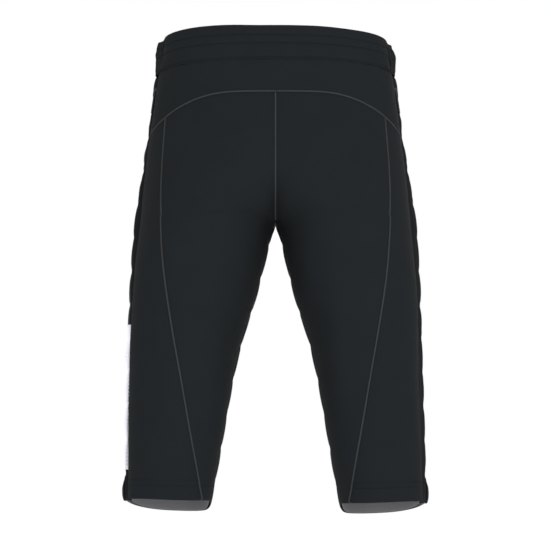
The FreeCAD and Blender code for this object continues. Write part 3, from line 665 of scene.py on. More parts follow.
def shell_grid(low_u, high_u, low_z, high_z, rows, columns):
    """u and z of a grid; low_z and high_z give the height at (u, x), low_u and high_u give u at z."""
    share, across = shares(rows, columns)
    z = np.broadcast_to(HEM_Z + (BAND_BOTTOM_Z - HEM_Z) * share, (rows + 1, columns + 1))
    for _ in range(ROUNDS):
        u = low_u(z) + (high_u(z) - low_u(z)) * across
        x = place(u, z)[..., 0]
        z = low_z(u, x) + (high_z(u, x) - low_z(u, x)) * share
    return u, z


def ruled(low_u, high_u, low_z, high_z, rows, columns):
    """u and z of a grid between two heights; low_u and high_u give u at z."""
    share, across = shares(rows, columns)
    z = low_z + (high_z - low_z) * share
    u = low_u(z) + (high_u(z) - low_u(z)) * across
    return u, np.broadcast_to(z, u.shape)


def shifted(u, z, distance):
    return u + distance / speed(u, z)


def clear_of_middle(grid, gap=0.12):
    """Keeps the two halves apart at the middle of the garment."""
    grid = grid.copy()
    grid[..., 0] = np.maximum(grid[..., 0], gap)
    return grid


CURL_COLUMNS = 4
CURL_DEPTH = 3.4
CURL_PULL = 0.03                # how far the edge is drawn towards the zip, as a share of u


def curl(u, z, t):
    """Adds columns that turn a sheet's first edge down, as at a zip."""
    turn = [s * math.pi / 2 for s in np.linspace(1, 0, CURL_COLUMNS + 1)[:-1]]
    more_u = np.stack([u[:, 0] * (1 - CURL_PULL * math.sin(a)) for a in turn], axis=1)
    more_t = np.stack([t[:, 0] - CURL_DEPTH * (1 - np.cos(a)) ** 0.8 for a in turn], axis=1)
    more_z = np.repeat(z[:, :1], CURL_COLUMNS, axis=1)
    return [np.concatenate(pair, axis=1) for pair in ((more_u, u), (more_z, z), (more_t, t))]


def shell_piece(name, u, z, node, sign, turned=False):
    t = back_out(u, z)
    if turned:
        u, z, t = curl(u, z, t)
    outer = clear_of_middle(place(u, z, t))
    inner = clear_of_middle(place(u, z, t - SHELL_THICKNESS - 0.9 * HEM_FOLD_EXTRA * in_hem_fold(z)))
    sheet_piece(name, outer, inner, [SOFTSHELL, FLEECE], "softshell_black", node, sign=sign)


def to_hem(u, x):
    return hem_z(u)


def to_yoke(gap):
    return lambda u, x: yoke_z(x) + gap


def side_seam_at(offset):
    return lambda z: shifted(side_seam_u(z), z, offset)


def constant(value):
    return lambda z: np.full_like(z, value)


def zip_edge(y):
    return lambda z: u_at_y(y, z)


for word, sign in SIDES:
    u, z = shell_grid(side_seam_at(SEAM_GAP), constant(1.0), to_hem, to_yoke(-SEAM_GAP), 118, 60)
    shell_piece(word + "_back_shell", u, z, word + "_back_panel", sign)
    u, z = shell_grid(zip_edge(VALLEY), side_seam_at(-SEAM_GAP), to_hem, to_yoke(-SEAM_GAP), 112, 22)
    shell_piece(word + "_side_shell", u, z, word + "_side_panel", sign, turned=True)


def whole(half, other=None):
    """A grid that goes on past the middle of the garment as its mirror image."""
    other = half * MIRROR if other is None else other
    return np.concatenate([half, other[:, :-1][:, ::-1]], axis=1)


def under_band(u, x):
    return BAND_BOTTOM_Z - 2 * SEAM_GAP


def over_hem(u, x):
    return hem_z(u) + 0.6


def yoke_out(u, z):
    """The yoke dips at the seam under the waistband, and gathers a little below it."""
    t = back_out(u, z)
    x = place(u, z)[..., 0]
    near_band = smooth(z, -62, -44)
    t = t + near_band * 0.55 * np.sin(x / 3.9 + 0.7 * np.sin(x / 17.0))
    return t - 0.6 * bump(z - BAND_BOTTOM_Z, 3.0)


def tucked(u, z, t, rows):
    """Adds rows above the top edge that go up behind the waistband: (height, offset)."""
    more = [(u[-1], np.full_like(z[-1], height), np.full_like(t[-1], offset)) for height, offset in rows]
    return [np.concatenate([a, np.stack([m[k] for m in more])]) for k, a in enumerate((u, z, t))]


u, z = shell_grid(zip_edge(VALLEY), constant(1.0), to_yoke(SEAM_GAP), under_band, 14, 62)
u, z, t = curl(u, z, yoke_out(u, z))
u, z, t = tucked(u, z, t, [(BAND_BOTTOM_Z + 0.6, -1.5), (BAND_BOTTOM_Z + 3.0, -1.9)])
sheet_piece("back_yoke_shell", whole(place(u, z, t)), whole(place(u, z, t - SHELL_THICKNESS)),
            [SOFTSHELL, FLEECE], "softshell_black", "back_yoke")

# ---------------------------------------------------------------- flat seams of the back
PIPING_HALF_WIDTH = 1.1
PIPING_PROFILE = [(-1.0, -0.5), (-0.92, 0.45), (-0.6, 0.95), (0.0, 1.15), (0.6, 0.95), (0.92, 0.45),
                  (1.0, -0.5)]
ZIGZAG_PITCH = 2.1
ZIGZAG_LEAN = 0.55
ZIGZAG_HALF_LENGTH, ZIGZAG_RADIUS = 1.25, 0.24
ZIGZAG_HEIGHT = 0.98


def seam_ridge(name, centre, across, outs, node, sign=1):
    """A rounded ridge with a zigzag of thread over it. centre, across and outs are arrays."""
    wide = across * PIPING_HALF_WIDTH
    outer = np.stack([centre + wide * s + outs * h for s, h in PIPING_PROFILE], axis=1)
    inner = np.stack([centre + wide * s * 0.9 - outs for s, _ in PIPING_PROFILE], axis=1)
    made = cloth_piece(name, outer, inner, [PIPING], bulge=0.0, subdivide=0, sign=sign)
    finish_piece(made, "piping_grey", node)
    travelled, at = paced(centre, ZIGZAG_PITCH)
    along = picked(centre, travelled, at + 0.5) - picked(centre, travelled, at - 0.5)
    out = picked(outs, travelled, at)
    for lean in (ZIGZAG_LEAN, -ZIGZAG_LEAN):
        tangents = unit(picked(across, travelled, at) + lean * along)
        grey_threads.put(*stitch_mesh(picked(centre, travelled, at) + out * ZIGZAG_HEIGHT, tangents, out,
                                      ZIGZAG_HALF_LENGTH, ZIGZAG_RADIUS), sign)


def ridge_on_surface(u, z, out):
    """Centre, direction across and direction out of a seam on a surface."""
    points, outs = surface_line(u, z, out)
    along = np.gradient(points, axis=0)
    return points, unit(np.cross(along, outs)), outs


for word, sign in SIDES:
    top = float(yoke_z(at_level(SIDE_SEAM_X, -118.0)))
    for _ in range(6):
        top = float(yoke_z(at_level(SIDE_SEAM_X, top))) - 1.4
    z = np.linspace(HEM_Z + 0.6, top, 190)
    seam_ridge(word + "_side_seam", *ridge_on_surface(side_seam_u(z), z, back_out),
               word + "_side_piping", sign)

u_start = float(u_at_y(VALLEY + 1, yoke_z(151.0)))
u = u_start + (1 - u_start) * np.linspace(0, 1, 170) ** 0.9
z = np.full_like(u, -90.0)
for _ in range(20):
    z = yoke_z(place(u, z)[..., 0])
points, across, outs = ridge_on_surface(u, z, back_out)
points[-1, 0] = 0.0
joined = [np.concatenate([a, (a * flip)[:-1][::-1]])
          for a, flip in ((points, MIRROR), (across, -MIRROR), (outs, MIRROR))]
seam_ridge("yoke_seam", *joined, "yoke_piping")

z = np.linspace(CENTRE_SEAM_END_Z - CENTRE_SEAM_RUN_ON, YOKE_CENTRE_Z - 1.6, 80)
points, outs = surface_line(u_at_x(0.01, z), z, back_out)
points[:, 0] = 0.0
across = np.tile([1.0, 0.0, 0.0], (len(z), 1))
seam_ridge("centre_back_seam", points, across, outs, "centre_back_piping")

# ---------------------------------------------------------------- stitching of the back
for word, sign in SIDES:
    for row in HEM_ROWS:
        u = np.linspace(0.03, 0.995, 260)
        points, outs = surface_line(u, np.full_like(u, HEM_Z + row), back_out)
        black_threads.line(points, outs, sign=sign)
    # the row beside the zip
    z = np.linspace(HEM_Z + 2, yoke_z(150.0) - 3, 200)
    points, outs = surface_line(u_at_y(VALLEY + 5.5, z), z, back_out)
    black_threads.line(points, outs, sign=sign)

# ---------------------------------------------------------------- quilted front
QUILT_COLUMNS = 56
STRIPE_COLUMNS = 6              # columns between the stripe's front edge and the zip
STRIPE_FRONT_Y = -26.0
QUILT_ROWS_PER_CHANNEL = 10
QUILT_SHELL = 0.9
SIM_FRAMES = 20
SIM_CAP = 6.5
SIM_CAP_AT_EDGE = 0.6
FRONT_WIDTH = 190.0
SEAM_TAPE_HALF_WIDTH = 6.0


def front_grid():
    """u and z of the front, with a row of points on every quilt line. The first row is the hem."""
    wide = np.linspace(0, 1, QUILT_COLUMNS - STRIPE_COLUMNS + 1)[:-1]
    near_zip = np.linspace(0, 1, STRIPE_COLUMNS + 1)

    def columns_at(z):
        """u of every column at heights z, one height a column."""
        inner = u_at_y(STRIPE_FRONT_Y, z)
        end = u_at_y(-VALLEY, z)
        return np.concatenate([-1 + (inner + 1)[..., :len(wide)] * wide,
                               inner[..., len(wide):] + (end - inner)[..., len(wide):] * near_zip], axis=-1)

    lines = []
    levels = [hem_z]
    levels += [(lambda u, k=k: quilt_z(k, u)) for k in reversed(range(QUILT_LINES))]
    levels += [lambda u: np.full_like(u, BAND_BOTTOM_Z - 2 * SEAM_GAP)]
    for level in levels:
        z = np.full(QUILT_COLUMNS + 1, HEM_Z)
        for _ in range(ROUNDS):
            z = level(columns_at(z))
        lines.append(z)
    rows_z, pinned = [], []
    for k in range(len(lines) - 1):
        gap = float(np.mean(lines[k + 1] - lines[k]))
        count = max(int(round(gap / (QUILT_PITCH / QUILT_ROWS_PER_CHANNEL))), 2)
        for i in range(count):
            rows_z.append(lines[k] + (lines[k + 1] - lines[k]) * i / count)
            pinned.append(i == 0)
    rows_z.append(lines[-1])
    pinned.append(True)
    z = np.array(rows_z)
    return columns_at(z), z, np.array(pinned), lines


def simulate_quilt(points, pinned_points):
    """Blows the cloth up between its stitch lines and returns where its points end."""
    index, quads = grid_quads(*points.shape[:2])
    made = new_object("quilt_simulation", points.reshape(-1, 3), quads.tolist(), [], worn=False)
    group = made.vertex_groups.new(name="pins")
    group.add([int(i) for i in index[pinned_points]], 1.0, "REPLACE")
    cloth = made.modifiers.new("cloth", "CLOTH")
    settings = cloth.settings
    settings.quality = 6
    settings.mass = 0.25
    settings.tension_stiffness = 12.0
    settings.compression_stiffness = 12.0
    settings.shear_stiffness = 4.0
    settings.bending_stiffness = 1.2
    settings.tension_damping = 12.0
    settings.compression_damping = 12.0
    settings.bending_damping = 1.0
    settings.vertex_group_mass = "pins"
    settings.use_pressure = True
    settings.uniform_pressure_force = 7.0
    settings.shrink_min = -0.025
    settings.shrink_max = -0.025
    settings.effector_weights.gravity = 0.0
    cloth.collision_settings.use_collision = False
    cloth.collision_settings.use_self_collision = False
    cloth.point_cache.frame_start = 1
    cloth.point_cache.frame_end = SIM_FRAMES
    scene = bpy.context.scene
    for number in range(1, SIM_FRAMES + 1):
        scene.frame_set(number)
    shown = made.evaluated_get(bpy.context.evaluated_depsgraph_get())
    moved = np.zeros(points.size)
    shown.to_mesh().vertices.foreach_get("co", moved)
    shown.to_mesh_clear()
    bpy.data.objects.remove(made)
    scene.frame_set(1)
    return moved.reshape(points.shape) / MM


def capped(points, moved, cap):
    """Points moved by no more than a cap each."""
    away = moved - points
    size = np.linalg.norm(away, axis=-1, keepdims=True)
    return points + away * np.minimum(1.0, cap / np.maximum(size, 1e-6))


def gather(across, seed):
    """Small uneven puckers along a stitch line, from -1 to 1."""
    return (0.5 * np.sin(across / 3.4 + seed) + 0.32 * np.sin(across / 1.9 + 2.1 * seed)
            + 0.28 * np.sin(across / 7.7 + 0.7 * seed))


def gathered_front(u, z, seed):
    """The quilted front before its cloth is simulated, with small puckers along its stitch lines."""
    gaps = np.stack([np.abs(z - quilt_z(k, u)) for k in range(QUILT_LINES)])
    seeds = seed + 2.4 * gaps.argmin(axis=0)
    return front_out(u, z) + 0.55 * gather(u * FRONT_WIDTH, seeds) * bump(gaps.min(axis=0) - 4, 6)


def nearest_along(curve, points):
    """For each point, x and y of the nearest place on a curve."""
    fine = np.stack([np.interp(np.linspace(0, len(curve) - 1, 900), np.arange(len(curve)), curve[:, k])
                     for k in (0, 1)], axis=1)
    gap = np.linalg.norm(points[:, None, :2] - fine[None], axis=2)
    return fine[gap.argmin(axis=1)]


front_u, front_z, quilt_rows, quilt_levels = front_grid()
MIDDLE_GAP = 0.3
ZIP_TURN = (0.2, 0.4, 0.6, 0.8, 1.0)
INSEAM_TURN = (1.0, 0.5)
HEM_TURN = ((1.0, -0.3), (0.55, 0.5))           # share of the way in, and drop under the edge
WAIST_TUCK = ((0.45, 0.5), (0.65, 3.4))         # share of the way in, and height over the band's edge


def turned_in(cloth):
    """The edge at the inseam, and the edge beside the zip, turn in to meet their neighbours."""
    edge = cloth[:, 0]
    goal = clear_of_middle(place(front_u[:, 0], front_z[:, 0], -1.4), MIDDLE_GAP)
    ends = [edge + (goal - edge) * s for s in INSEAM_TURN]
    edge = cloth[:, -1]
    goal = place(u_at_y(-VALLEY - 0.6, front_z[:, -1]), front_z[:, -1], -2.6)
    turns = [edge + (goal - edge) * s + [0.6 * math.sin(s * math.pi), 0, 0] for s in ZIP_TURN]
    return np.concatenate([np.stack(ends, axis=1), cloth, np.stack(turns, axis=1)], axis=1)


def core_of(row, last_u):
    """Points inside the quilting beside a row of its points."""
    core = place(np.linspace(-1, last_u, len(row)), row[:, 2], -1.0)
    core[:, :2] = nearest_along(core, row)
    return core


def ring_in(row, core, share, z):
    ring = row + (core - row) * share
    ring[:, 2] = z
    return ring


def closed_ends(cloth):
    """The hem turns in, and the top goes up behind the waistband."""
    hem, top = cloth[0], cloth[-1]
    hem_core = core_of(hem, front_u[0, -1])
    top_core = clear_of_middle(core_of(top, front_u[-1, -1]))
    below = [ring_in(hem, hem_core, share, hem[:, 2] - drop) for share, drop in HEM_TURN]
    tuck = [ring_in(top, top_core, share, BAND_BOTTOM_Z + height) for share, height in WAIST_TUCK]
    return np.concatenate([np.stack(below), cloth, np.stack(tuck)])


front_outers, front_trees = {}, {}
for word, sign in SIDES:
    seed = 1.3 if sign > 0 else 4.1
    cloth = clear_of_middle(place(front_u, front_z, gathered_front(front_u, front_z, seed)), MIDDLE_GAP)
    pins = np.zeros(front_u.shape, bool)
    pins[quilt_rows] = True
    pins[:, 0] = pins[:, -1] = True
    cap = SIM_CAP_AT_EDGE + (SIM_CAP - SIM_CAP_AT_EDGE) * free_to_puff(front_u)
    cloth = capped(cloth, simulate_quilt(cloth, pins), cap[..., None])
    cloth = clear_of_middle(cloth, MIDDLE_GAP)
    outer = closed_ends(turned_in(cloth))
    normal = np.cross(np.gradient(outer, axis=1), np.gradient(outer, axis=0))
    normal /= np.maximum(np.linalg.norm(normal, axis=-1, keepdims=True), 1e-6)
    if (normal[..., 1] > 0).mean() > 0.5:
        normal = -normal
    front_outers[word] = (outer, normal)
    sheet_piece(word + "_quilted_front", outer, outer - normal * QUILT_SHELL, [QUILT], "quilt_black",
                word + "_front_panel", word + "_front_wadding", sign=sign)
    quads = grid_quads(*cloth.shape[:2])[1]
    front_trees[word] = BVHTree.FromPolygons([Vector(p) for p in cloth.reshape(-1, 3)], quads.tolist())
    # quilt stitching, in the lines that the simulation held still
    for line_z in quilt_levels[1:-1]:
        u = np.linspace(-0.985, float(u_at_y(-VALLEY - 3, line_z[-1])), 4 * QUILT_COLUMNS)
        z = np.interp(u, front_u[0], line_z)
        points, outs = surface_line(u, z, lambda u, z: gathered_front(u, z, seed))
        black_threads.line(points, outs, pitch=3.6, length=2.7, radius=0.3, lift=0.12, sign=sign)


def on_front(word, u, z):
    """Points on the simulated front at u and z."""
    far, near = place(u, z, 20.0), place(u, z, -10.0)
    found = np.empty(far.shape)
    for i in np.ndindex(u.shape):
        start, goal = Vector(far[i]), Vector(near[i])
        hit = front_trees[word].ray_cast(start, (goal - start).normalized())[0]
        found[i] = place(u[i], z[i], float(puff(u[i], z[i]))) if hit is None else hit
    return found


# ---------------------------------------------------------------- lining and hem facings
z = np.linspace(CROTCH_Z + 8, BAND_BOTTOM_Z + 3, 60)[:, None]
seam_tape = place(np.full_like(z, -1.0), z, -3.6)
seam_tape = seam_tape + np.linspace(-1, 1, 7)[None, :, None] * [SEAM_TAPE_HALF_WIDTH, 0, 0]
sheet_piece("front_seam_tape", seam_tape + [0, -0.5, 0], seam_tape, [LINING], "lining_grey")
for word, sign in SIDES:
    u, z = shell_grid(constant(-1.0), zip_edge(-14.4), over_hem, under_band, 96, 44)
    x = place(u, z)[..., 0]
    wave = 0.5 * np.sin(x / 12.0 + z / 40.0) + 0.4 * np.sin(z / 23.0 - x / 30.0)
    crease = np.minimum(wave, 0)
    t = -1.7 + 0.35 * crease
    outer = clear_of_middle(place(u, z, t), MIDDLE_GAP)
    inner = clear_of_middle(place(u, z, t - 0.8 + 0.3 * crease), MIDDLE_GAP)
    sheet_piece(word + "_front_lining_cloth", outer, inner, [LINING], "lining_grey",
                word + "_front_lining", sign=sign)

    u, z = ruled(zip_edge(18.0), constant(0.985), HEM_Z + 0.5, HEM_Z + 24.0, 8, 90)
    t = -2.6 - sum(0.3 * bump(z - HEM_Z - row, 2.0) for row in HEM_ROWS)
    sheet_piece(word + "_hem_facing_cloth", place(u, z, t), place(u, z, t - 1.1), [FACING], "facing_grey",
                word + "_hem_facing", sign=sign)

# ---------------------------------------------------------------- waistband
BAND_ROWS = (-12.0, -22.0, -39.4)
LIFT_LEFT = 3.6
LIFT_MIDDLE = 1.0
LAP_DROP = 3.4                  # how far the front band's end comes in over the back band
FLARE_LEFT = [(0, 3.2), (-4, 3.6), (-13, 4.0), (-22, 3.0), (-32, 1.6), (-43, 0.2)]
FLARE_RIGHT = [(0, 1.6), (-5, 1.3), (-10, 3.4), (-20, 4.2), (-32, 1.4), (-43, -0.6)]
CORNER_DROP = 3.0
FRONT_BAND_LAP_Y = 21.0
BAND_COLUMNS = 150
BAND_GATHER = 0.6               # height of the puckers over the elastic


def band_levels():
    """Heights of the rows of a band's grid, close together at the stitching."""
    steps = (-3.0, -1.2, 0.0, 1.2, 3.0)
    near = [row + step for row in BAND_ROWS for step in steps if row + step > BAND_BOTTOM_Z]
    even = [z for z in np.linspace(BAND_BOTTOM_Z, BAND_TOP_Z, 19)
            if min(abs(z - other) for other in near) > 1.1]
    return np.array(sorted({*near, *even, BAND_BOTTOM_Z}))


def band_grid(middle_u, end_y):
    z = band_levels()[:, None]
    end = u_at_y(end_y, z)
    u = end + (middle_u - end) * np.linspace(0, 1, BAND_COLUMNS + 1)[None, :]
    return u, np.broadcast_to(z, u.shape)


def band_bulge(distance, z, strength):
    """Gathered cloth over elastic: it dips at each stitch row and puckers at a slant between them."""
    t = np.zeros_like(z)
    free = (1 - 0.75 * bump(z - BAND_TOP_Z, 3.0)) * (1 - bump(z - BAND_BOTTOM_Z, 4.0))
    for row in BAND_ROWS:
        t = t - 0.75 * bump(z - row, 1.5)
        free = free * (1 - 0.9 * bump(z - row, 2.4))
    lean = distance + 0.55 * (z + 20)
    fold = (0.42 * np.sin(lean / 4.1 + 0.8 * np.sin(distance / 23.0))
            + 0.30 * np.sin(distance / 2.7 - 0.35 * z + 1.3 * np.sin(distance / 31.0))
            + 0.25 * np.sin(distance / 9.5 + z / 9.0))
    return t + strength * fold * free


def band_lift(x, z):
    """The band sits a little higher on the wearer's left, and in the middle of the back."""
    share = (z - BAND_BOTTOM_Z) / (BAND_TOP_Z - BAND_BOTTOM_Z)
    return (LIFT_LEFT * smooth(x, 12, 105) + LIFT_MIDDLE * (1 - smooth(np.abs(x), 45, 100))) * share


def band_flare(u, z, side):
    """The front band's end lies down over the back band, and stands out a little above the snap."""
    lap = -LAP_DROP * smooth(u, 0.0, 0.085)
    return lap + at_level(FLARE_LEFT if side > 0 else FLARE_RIGHT, z) * bump(u, 0.05)


def corner_drop(u, z):
    """The upper corner of the front band's end hangs a little."""
    return CORNER_DROP * bump(u - 0.05, 0.09) * smooth(z, -14, 0)


def band_piece(name, middle_u, end_y, low, high, node, flare=0.0):
    u, z = band_grid(middle_u, end_y)
    base = place(u, z)
    distance = lengths(base)[..., 0]
    halves = []
    for side in (1, -1):
        along = distance * side + 300 * (side < 0)
        t = high + band_bulge(along, z, BAND_GATHER * (1 - bump(u - middle_u, 0.02)))
        t = t + flare * band_flare(u, z, side)
        for layer in (t, t - (high - low)):
            grid = place(u, z, layer)
            grid[..., 0] *= side
            grid[..., 2] += band_lift(grid[..., 0], z) - flare * corner_drop(u, z)
            halves.append(grid)
    sheet_piece(name, whole(halves[0], halves[2]), whole(halves[1], halves[3]), [BAND], "band_black", node,
                bulge=0.4)


band_piece("back_band", 1.0, -12.0, -1.2, 0.1, "waistband_back")
band_piece("front_band", -1.0, FRONT_BAND_LAP_Y, 2.6, 4.6, "waistband_front", flare=1.0)

for middle_u, end_y, height in ((1.0, -11.0, 0.1), (-1.0, FRONT_BAND_LAP_Y - 1.5, 4.6)):
    for row in BAND_ROWS:
        for side in (1, -1):
            end = float(u_at_y(end_y, row))
            u = np.linspace(end, middle_u, 400)
            z = np.full_like(u, row)
            flare = band_flare(u, z, side) * (middle_u < 0)
            points = place(u, z, height - 0.60 + flare)
            outs = normals_of(points, place(u, z, height + 1.0 + flare))
            points[:, 2] += band_lift(points[:, 0] * side, z) - (middle_u < 0) * corner_drop(u, row)
            black_threads.line(points, outs, pitch=4.4, length=3.3, radius=0.30, lift=0.10, sign=side)


# ---------------------------------------------------------------- inside of the waist
def round_waist(name, middle_u, end_y, low_z, high_z, low, high, node, slot, material_used, ripple):
    u, z = ruled(zip_edge(end_y), constant(middle_u), low_z, high_z, 12, 110)
    distance = lengths(place(u, z))[..., 0]
    edge = 1 - bump(u - middle_u, 0.02)
    t = high + ripple * edge * np.sin(distance / 3.1 + 0.5 * np.sin(z / 6.0))
    outer, inner = place(u, z, t), place(u, z, t - (high - low))
    sheet_piece(name, whole(outer), whole(inner), [material_used], slot, node)


round_waist("back_elastic", 1.0, 14.0, -37.0, -4.0, -3.1, -1.75, "waist_elastic", "elastic_black", ELASTIC,
            0.1)
round_waist("back_facing", 1.0, 14.0, -38.0, -2.0, -4.3, -3.5, "waistband_facing_back", "facing_grey",
            FACING, 0.25)
round_waist("front_facing", -1.0, -14.0, -38.0, -2.0, 0.5, 1.4, "waistband_facing_front", "facing_grey",
            FACING, 0.1)

# ---------------------------------------------------------------- zips
TEETH_TOP_Z, TEETH_END_Z = -50.5, -566.0
TOOTH_PITCH = 4.6
CORD_SIDES = 8


def arc_point(z, y, height):
    """Points beside the left zip at heights z, y behind it and a height out from its arc."""
    z, y, height = np.broadcast_arrays(*(np.asarray(v, float) for v in (z, y, height)))
    lean = np.arcsin((z - ARC_Z) / ARC_RADIUS)
    r = ARC_RADIUS + height
    return np.stack([ARC_X + r * np.cos(lean), y, ARC_Z + r * np.sin(lean)], axis=-1)


def arc_axes(z):
    """Directions out of the arc and up along it at heights z."""
    lean = np.arcsin((z - ARC_Z) / ARC_RADIUS)
    out = np.stack([np.cos(lean), np.zeros_like(lean), np.sin(lean)], axis=-1)
    up = np.stack([-np.sin(lean), np.zeros_like(lean), np.cos(lean)], axis=-1)
    return out, up


def tooth_template():
    """One moulded tooth: x out, y away from the middle of the zip, z up it."""
    work = bmesh.new()
    bmesh.ops.create_cube(work, size=1.0)
    for v in work.verts:
        v.co = Vector((v.co.x * 2.75, 2.2 + v.co.y * 2.8, v.co.z * 2.6))
    bmesh.ops.bevel(work, geom=list(work.edges), offset=0.45, segments=2, affect="EDGES", profile=0.6)
    for v in work.verts:
        v.co.z *= 1 - 0.16 * max(0.0, 1 - abs(v.co.y - 2.5) / 0.7)
    points = np.array([v.co for v in work.verts])
    faces = [[v.index for v in f.verts] for f in work.faces]
    work.free()
    return points, faces


tooth_points, tooth_faces = tooth_template()


def teeth_piece(name, side_y, node, sign):
    count = int((TEETH_TOP_Z - TEETH_END_Z) / TOOTH_PITCH)
    z = TEETH_TOP_Z - TOOTH_PITCH * (np.arange(count) + 0.5)
    out, up = arc_axes(z)
    middle = arc_point(z, 0.0, -ZIP_DEPTH)
    points, faces = [], []
    across = np.array([0, side_y, 0.0])
    for k in range(count):
        points.append(middle[k] + tooth_points[:, :1] * out[k] + tooth_points[:, 1:2] * across
                      + tooth_points[:, 2:] * up[k])
        faces += [[v + k * len(tooth_points) for v in face] for face in tooth_faces]
    # the cord that the teeth grip
    base = count * len(tooth_points)
    z = np.linspace(TEETH_TOP_Z, TEETH_END_Z, 120)
    angles = [2 * math.pi * k / CORD_SIDES for k in range(CORD_SIDES)]
    ring = np.stack([arc_point(z, side_y * (3.0 + 0.6 * math.cos(a)), -ZIP_DEPTH + math.sin(a))
                     for a in angles], axis=1)
    points.append(ring.reshape(-1, 3))
    last = base + (len(z) - 1) * CORD_SIDES
    faces += [[base + v for v in face] for face in tube_faces(len(z), CORD_SIDES)]
    faces += [list(range(start, start + CORD_SIDES)) for start in (base, last)]
    points = np.concatenate(points)
    made = new_object(name, points * MIRROR if sign < 0 else points, faces, [TEETH])
    outwards(made)
    finish_piece(made, "zip_teeth", node)


def arc_sheet(name, y_low, y_high, low, high, top_z, end_z, materials, sign, columns=8, wave=0.0):
    """A cloth strip along the zip, and the grid of its outer face."""
    z = np.linspace(end_z, top_z, 151)[:, None]
    y = np.linspace(y_low, y_high, columns + 1)[None, :]
    ripple = wave * np.sin(z / 11.0 + y / 5.0)
    outer, inner = arc_point(z, y, high + ripple), arc_point(z, y, low + ripple)
    return cloth_piece(name, outer, inner, materials, sign=sign, subdivide=0), outer


for word, sign in SIDES:
    for end, side_y in (("front", -1), ("back", 1)):
        teeth_piece(f"{word}_teeth_{end}", side_y, f"{word}_zip_teeth_{end}", sign)
        tape, _ = arc_sheet(f"{word}_tape_{end}", *sorted((side_y * 3.5, side_y * 13.5)), -ZIP_DEPTH - 0.3,
                            -ZIP_DEPTH + 0.3, TEETH_TOP_Z + 5, HEM_Z + 1, [TAPE], sign)
        finish_piece(tape, "zip_tape", f"{word}_zip_tape_{end}")
        z = np.linspace(HEM_Z + 6, TEETH_TOP_Z, 200)
        points = arc_point(z, side_y * 6.0, -ZIP_DEPTH + 0.3)
        black_threads.line(points, arc_axes(z)[0], pitch=2.6, length=1.9, radius=0.22, sign=sign)
    guard, grid = arc_sheet(word + "_zip_guard_cloth", -19.0, 19.0, -ZIP_DEPTH - 7.5, -ZIP_DEPTH - 6.5,
                            -47.0, HEM_Z + 3, [SOFTSHELL, FLEECE], sign, columns=14, wave=0.15)
    finish_piece(guard, "softshell_black", word + "_zip_guard")

# ---------------------------------------------------------------- hem tabs and stripe
TAB_TOP_Z = -550.0


def tab_thickness(z):
    """A tab stands out most a little above its lower end."""
    down = np.clip((TAB_TOP_Z - z) / (TAB_TOP_Z - HEM_Z), 0, 1)
    return 0.6 + 2.5 * smooth(down, 0.0, 0.55) - 0.8 * smooth(down, 0.85, 1.0)


for word, sign in SIDES:
    u, z = ruled(zip_edge(-27.0), zip_edge(-VALLEY - 0.5), HEM_Z - 2.0, TAB_TOP_Z, 14, 8)
    inner = on_front(word, u, z)
    away = normals_of(place(u, z, 4.0), place(u, z, 6.0))
    outer = inner + away * tab_thickness(z)[..., None]
    tab = cloth_piece(word + "_hem_tab_moulded", outer, inner, [TAB], sign=sign, bulge=0.4)
    finish_piece(tab, "tab_black", word + "_hem_tab")

STRIPE_TOP_Z, STRIPE_END_Z = -357.0, -545.0
outer, normal = front_outers["left"]
side_z = outer[:, -len(ZIP_TURN) - 1, 2]
rows = np.where((side_z > STRIPE_END_Z) & (side_z < STRIPE_TOP_Z))[0]
patch = (slice(rows[0], rows[-1] + 1), slice(-len(ZIP_TURN) - STRIPE_COLUMNS - 1, -1))
stripe_base, stripe_out = outer[patch], normal[patch]
stripe_grid = stripe_base + stripe_out * 0.75
sheet_piece("left_stripe", stripe_grid, stripe_base + stripe_out * 0.2, [STRIPE], "stripe_white",
            "left_side_stripe", bulge=0.2)
for column in (1, STRIPE_COLUMNS + 2):
    stripe_threads.line(stripe_grid[1:-1, column], stripe_out[1:-1, column], pitch=4.7, length=3.1,
                        radius=0.36, lift=0.0)

# ---------------------------------------------------------------- pads and their pockets
PAD_GROOVE_WIDTH = 0.022
POCKET_SEAM_BACK, POCKET_SEAM_SIDE = -4.6, -12.4    # how deep a pocket is sewn on


def pad_grid(u, z, low, high, blocks):
    """A foam pad that is thick in the middle, thin at its edge, and split into blocks."""
    i, j = shares(u.shape[0] - 1, u.shape[1] - 1)
    edge = np.minimum(np.minimum(i, 1 - i), np.minimum(j, 1 - j)) * 3.2
    crown = np.sin(np.clip(edge, 0, 1) * math.pi / 2) ** 0.7
    cuts = np.zeros(u.shape)
    for share, count in zip((i, j), blocks):
        for k in range(1, count):
            cuts = np.maximum(cuts, bump(share - k / count, PAD_GROOVE_WIDTH))
    full = high - low
    thick = full * (0.30 + 0.70 * crown) * (1 - 0.45 * cuts)
    middle = (high + low) / 2 + full * 0.18
    return (place(u, z, np.minimum(middle + thick / 2, high)),
            place(u, z, middle - thick / 2 - full * 0.18))


def pad_piece(name, low_u, high_u, low_z, high_z, low, high, node, blocks, sign, middle=False):
    share, across = shares(44, 36)
    z = low_z + (high_z - low_z) * share
    start, end = low_u(z), high_u(z)
    # the corners are rounded: the rows near the ends are narrower
    narrow = 1 - np.abs(2 * share - 1) ** 5 * 0.22
    u = (start + end) / 2 + (end - start) * (across - 0.5) * narrow
    faces = pad_grid(u, np.broadcast_to(z, u.shape), low, high, blocks)
    outer, inner = (whole(face) if middle else face for face in faces)
    made = cloth_piece(name, outer, inner, [FOAM], bulge=0.5, sign=sign)
    finish_piece(made, "pad_foam", node)


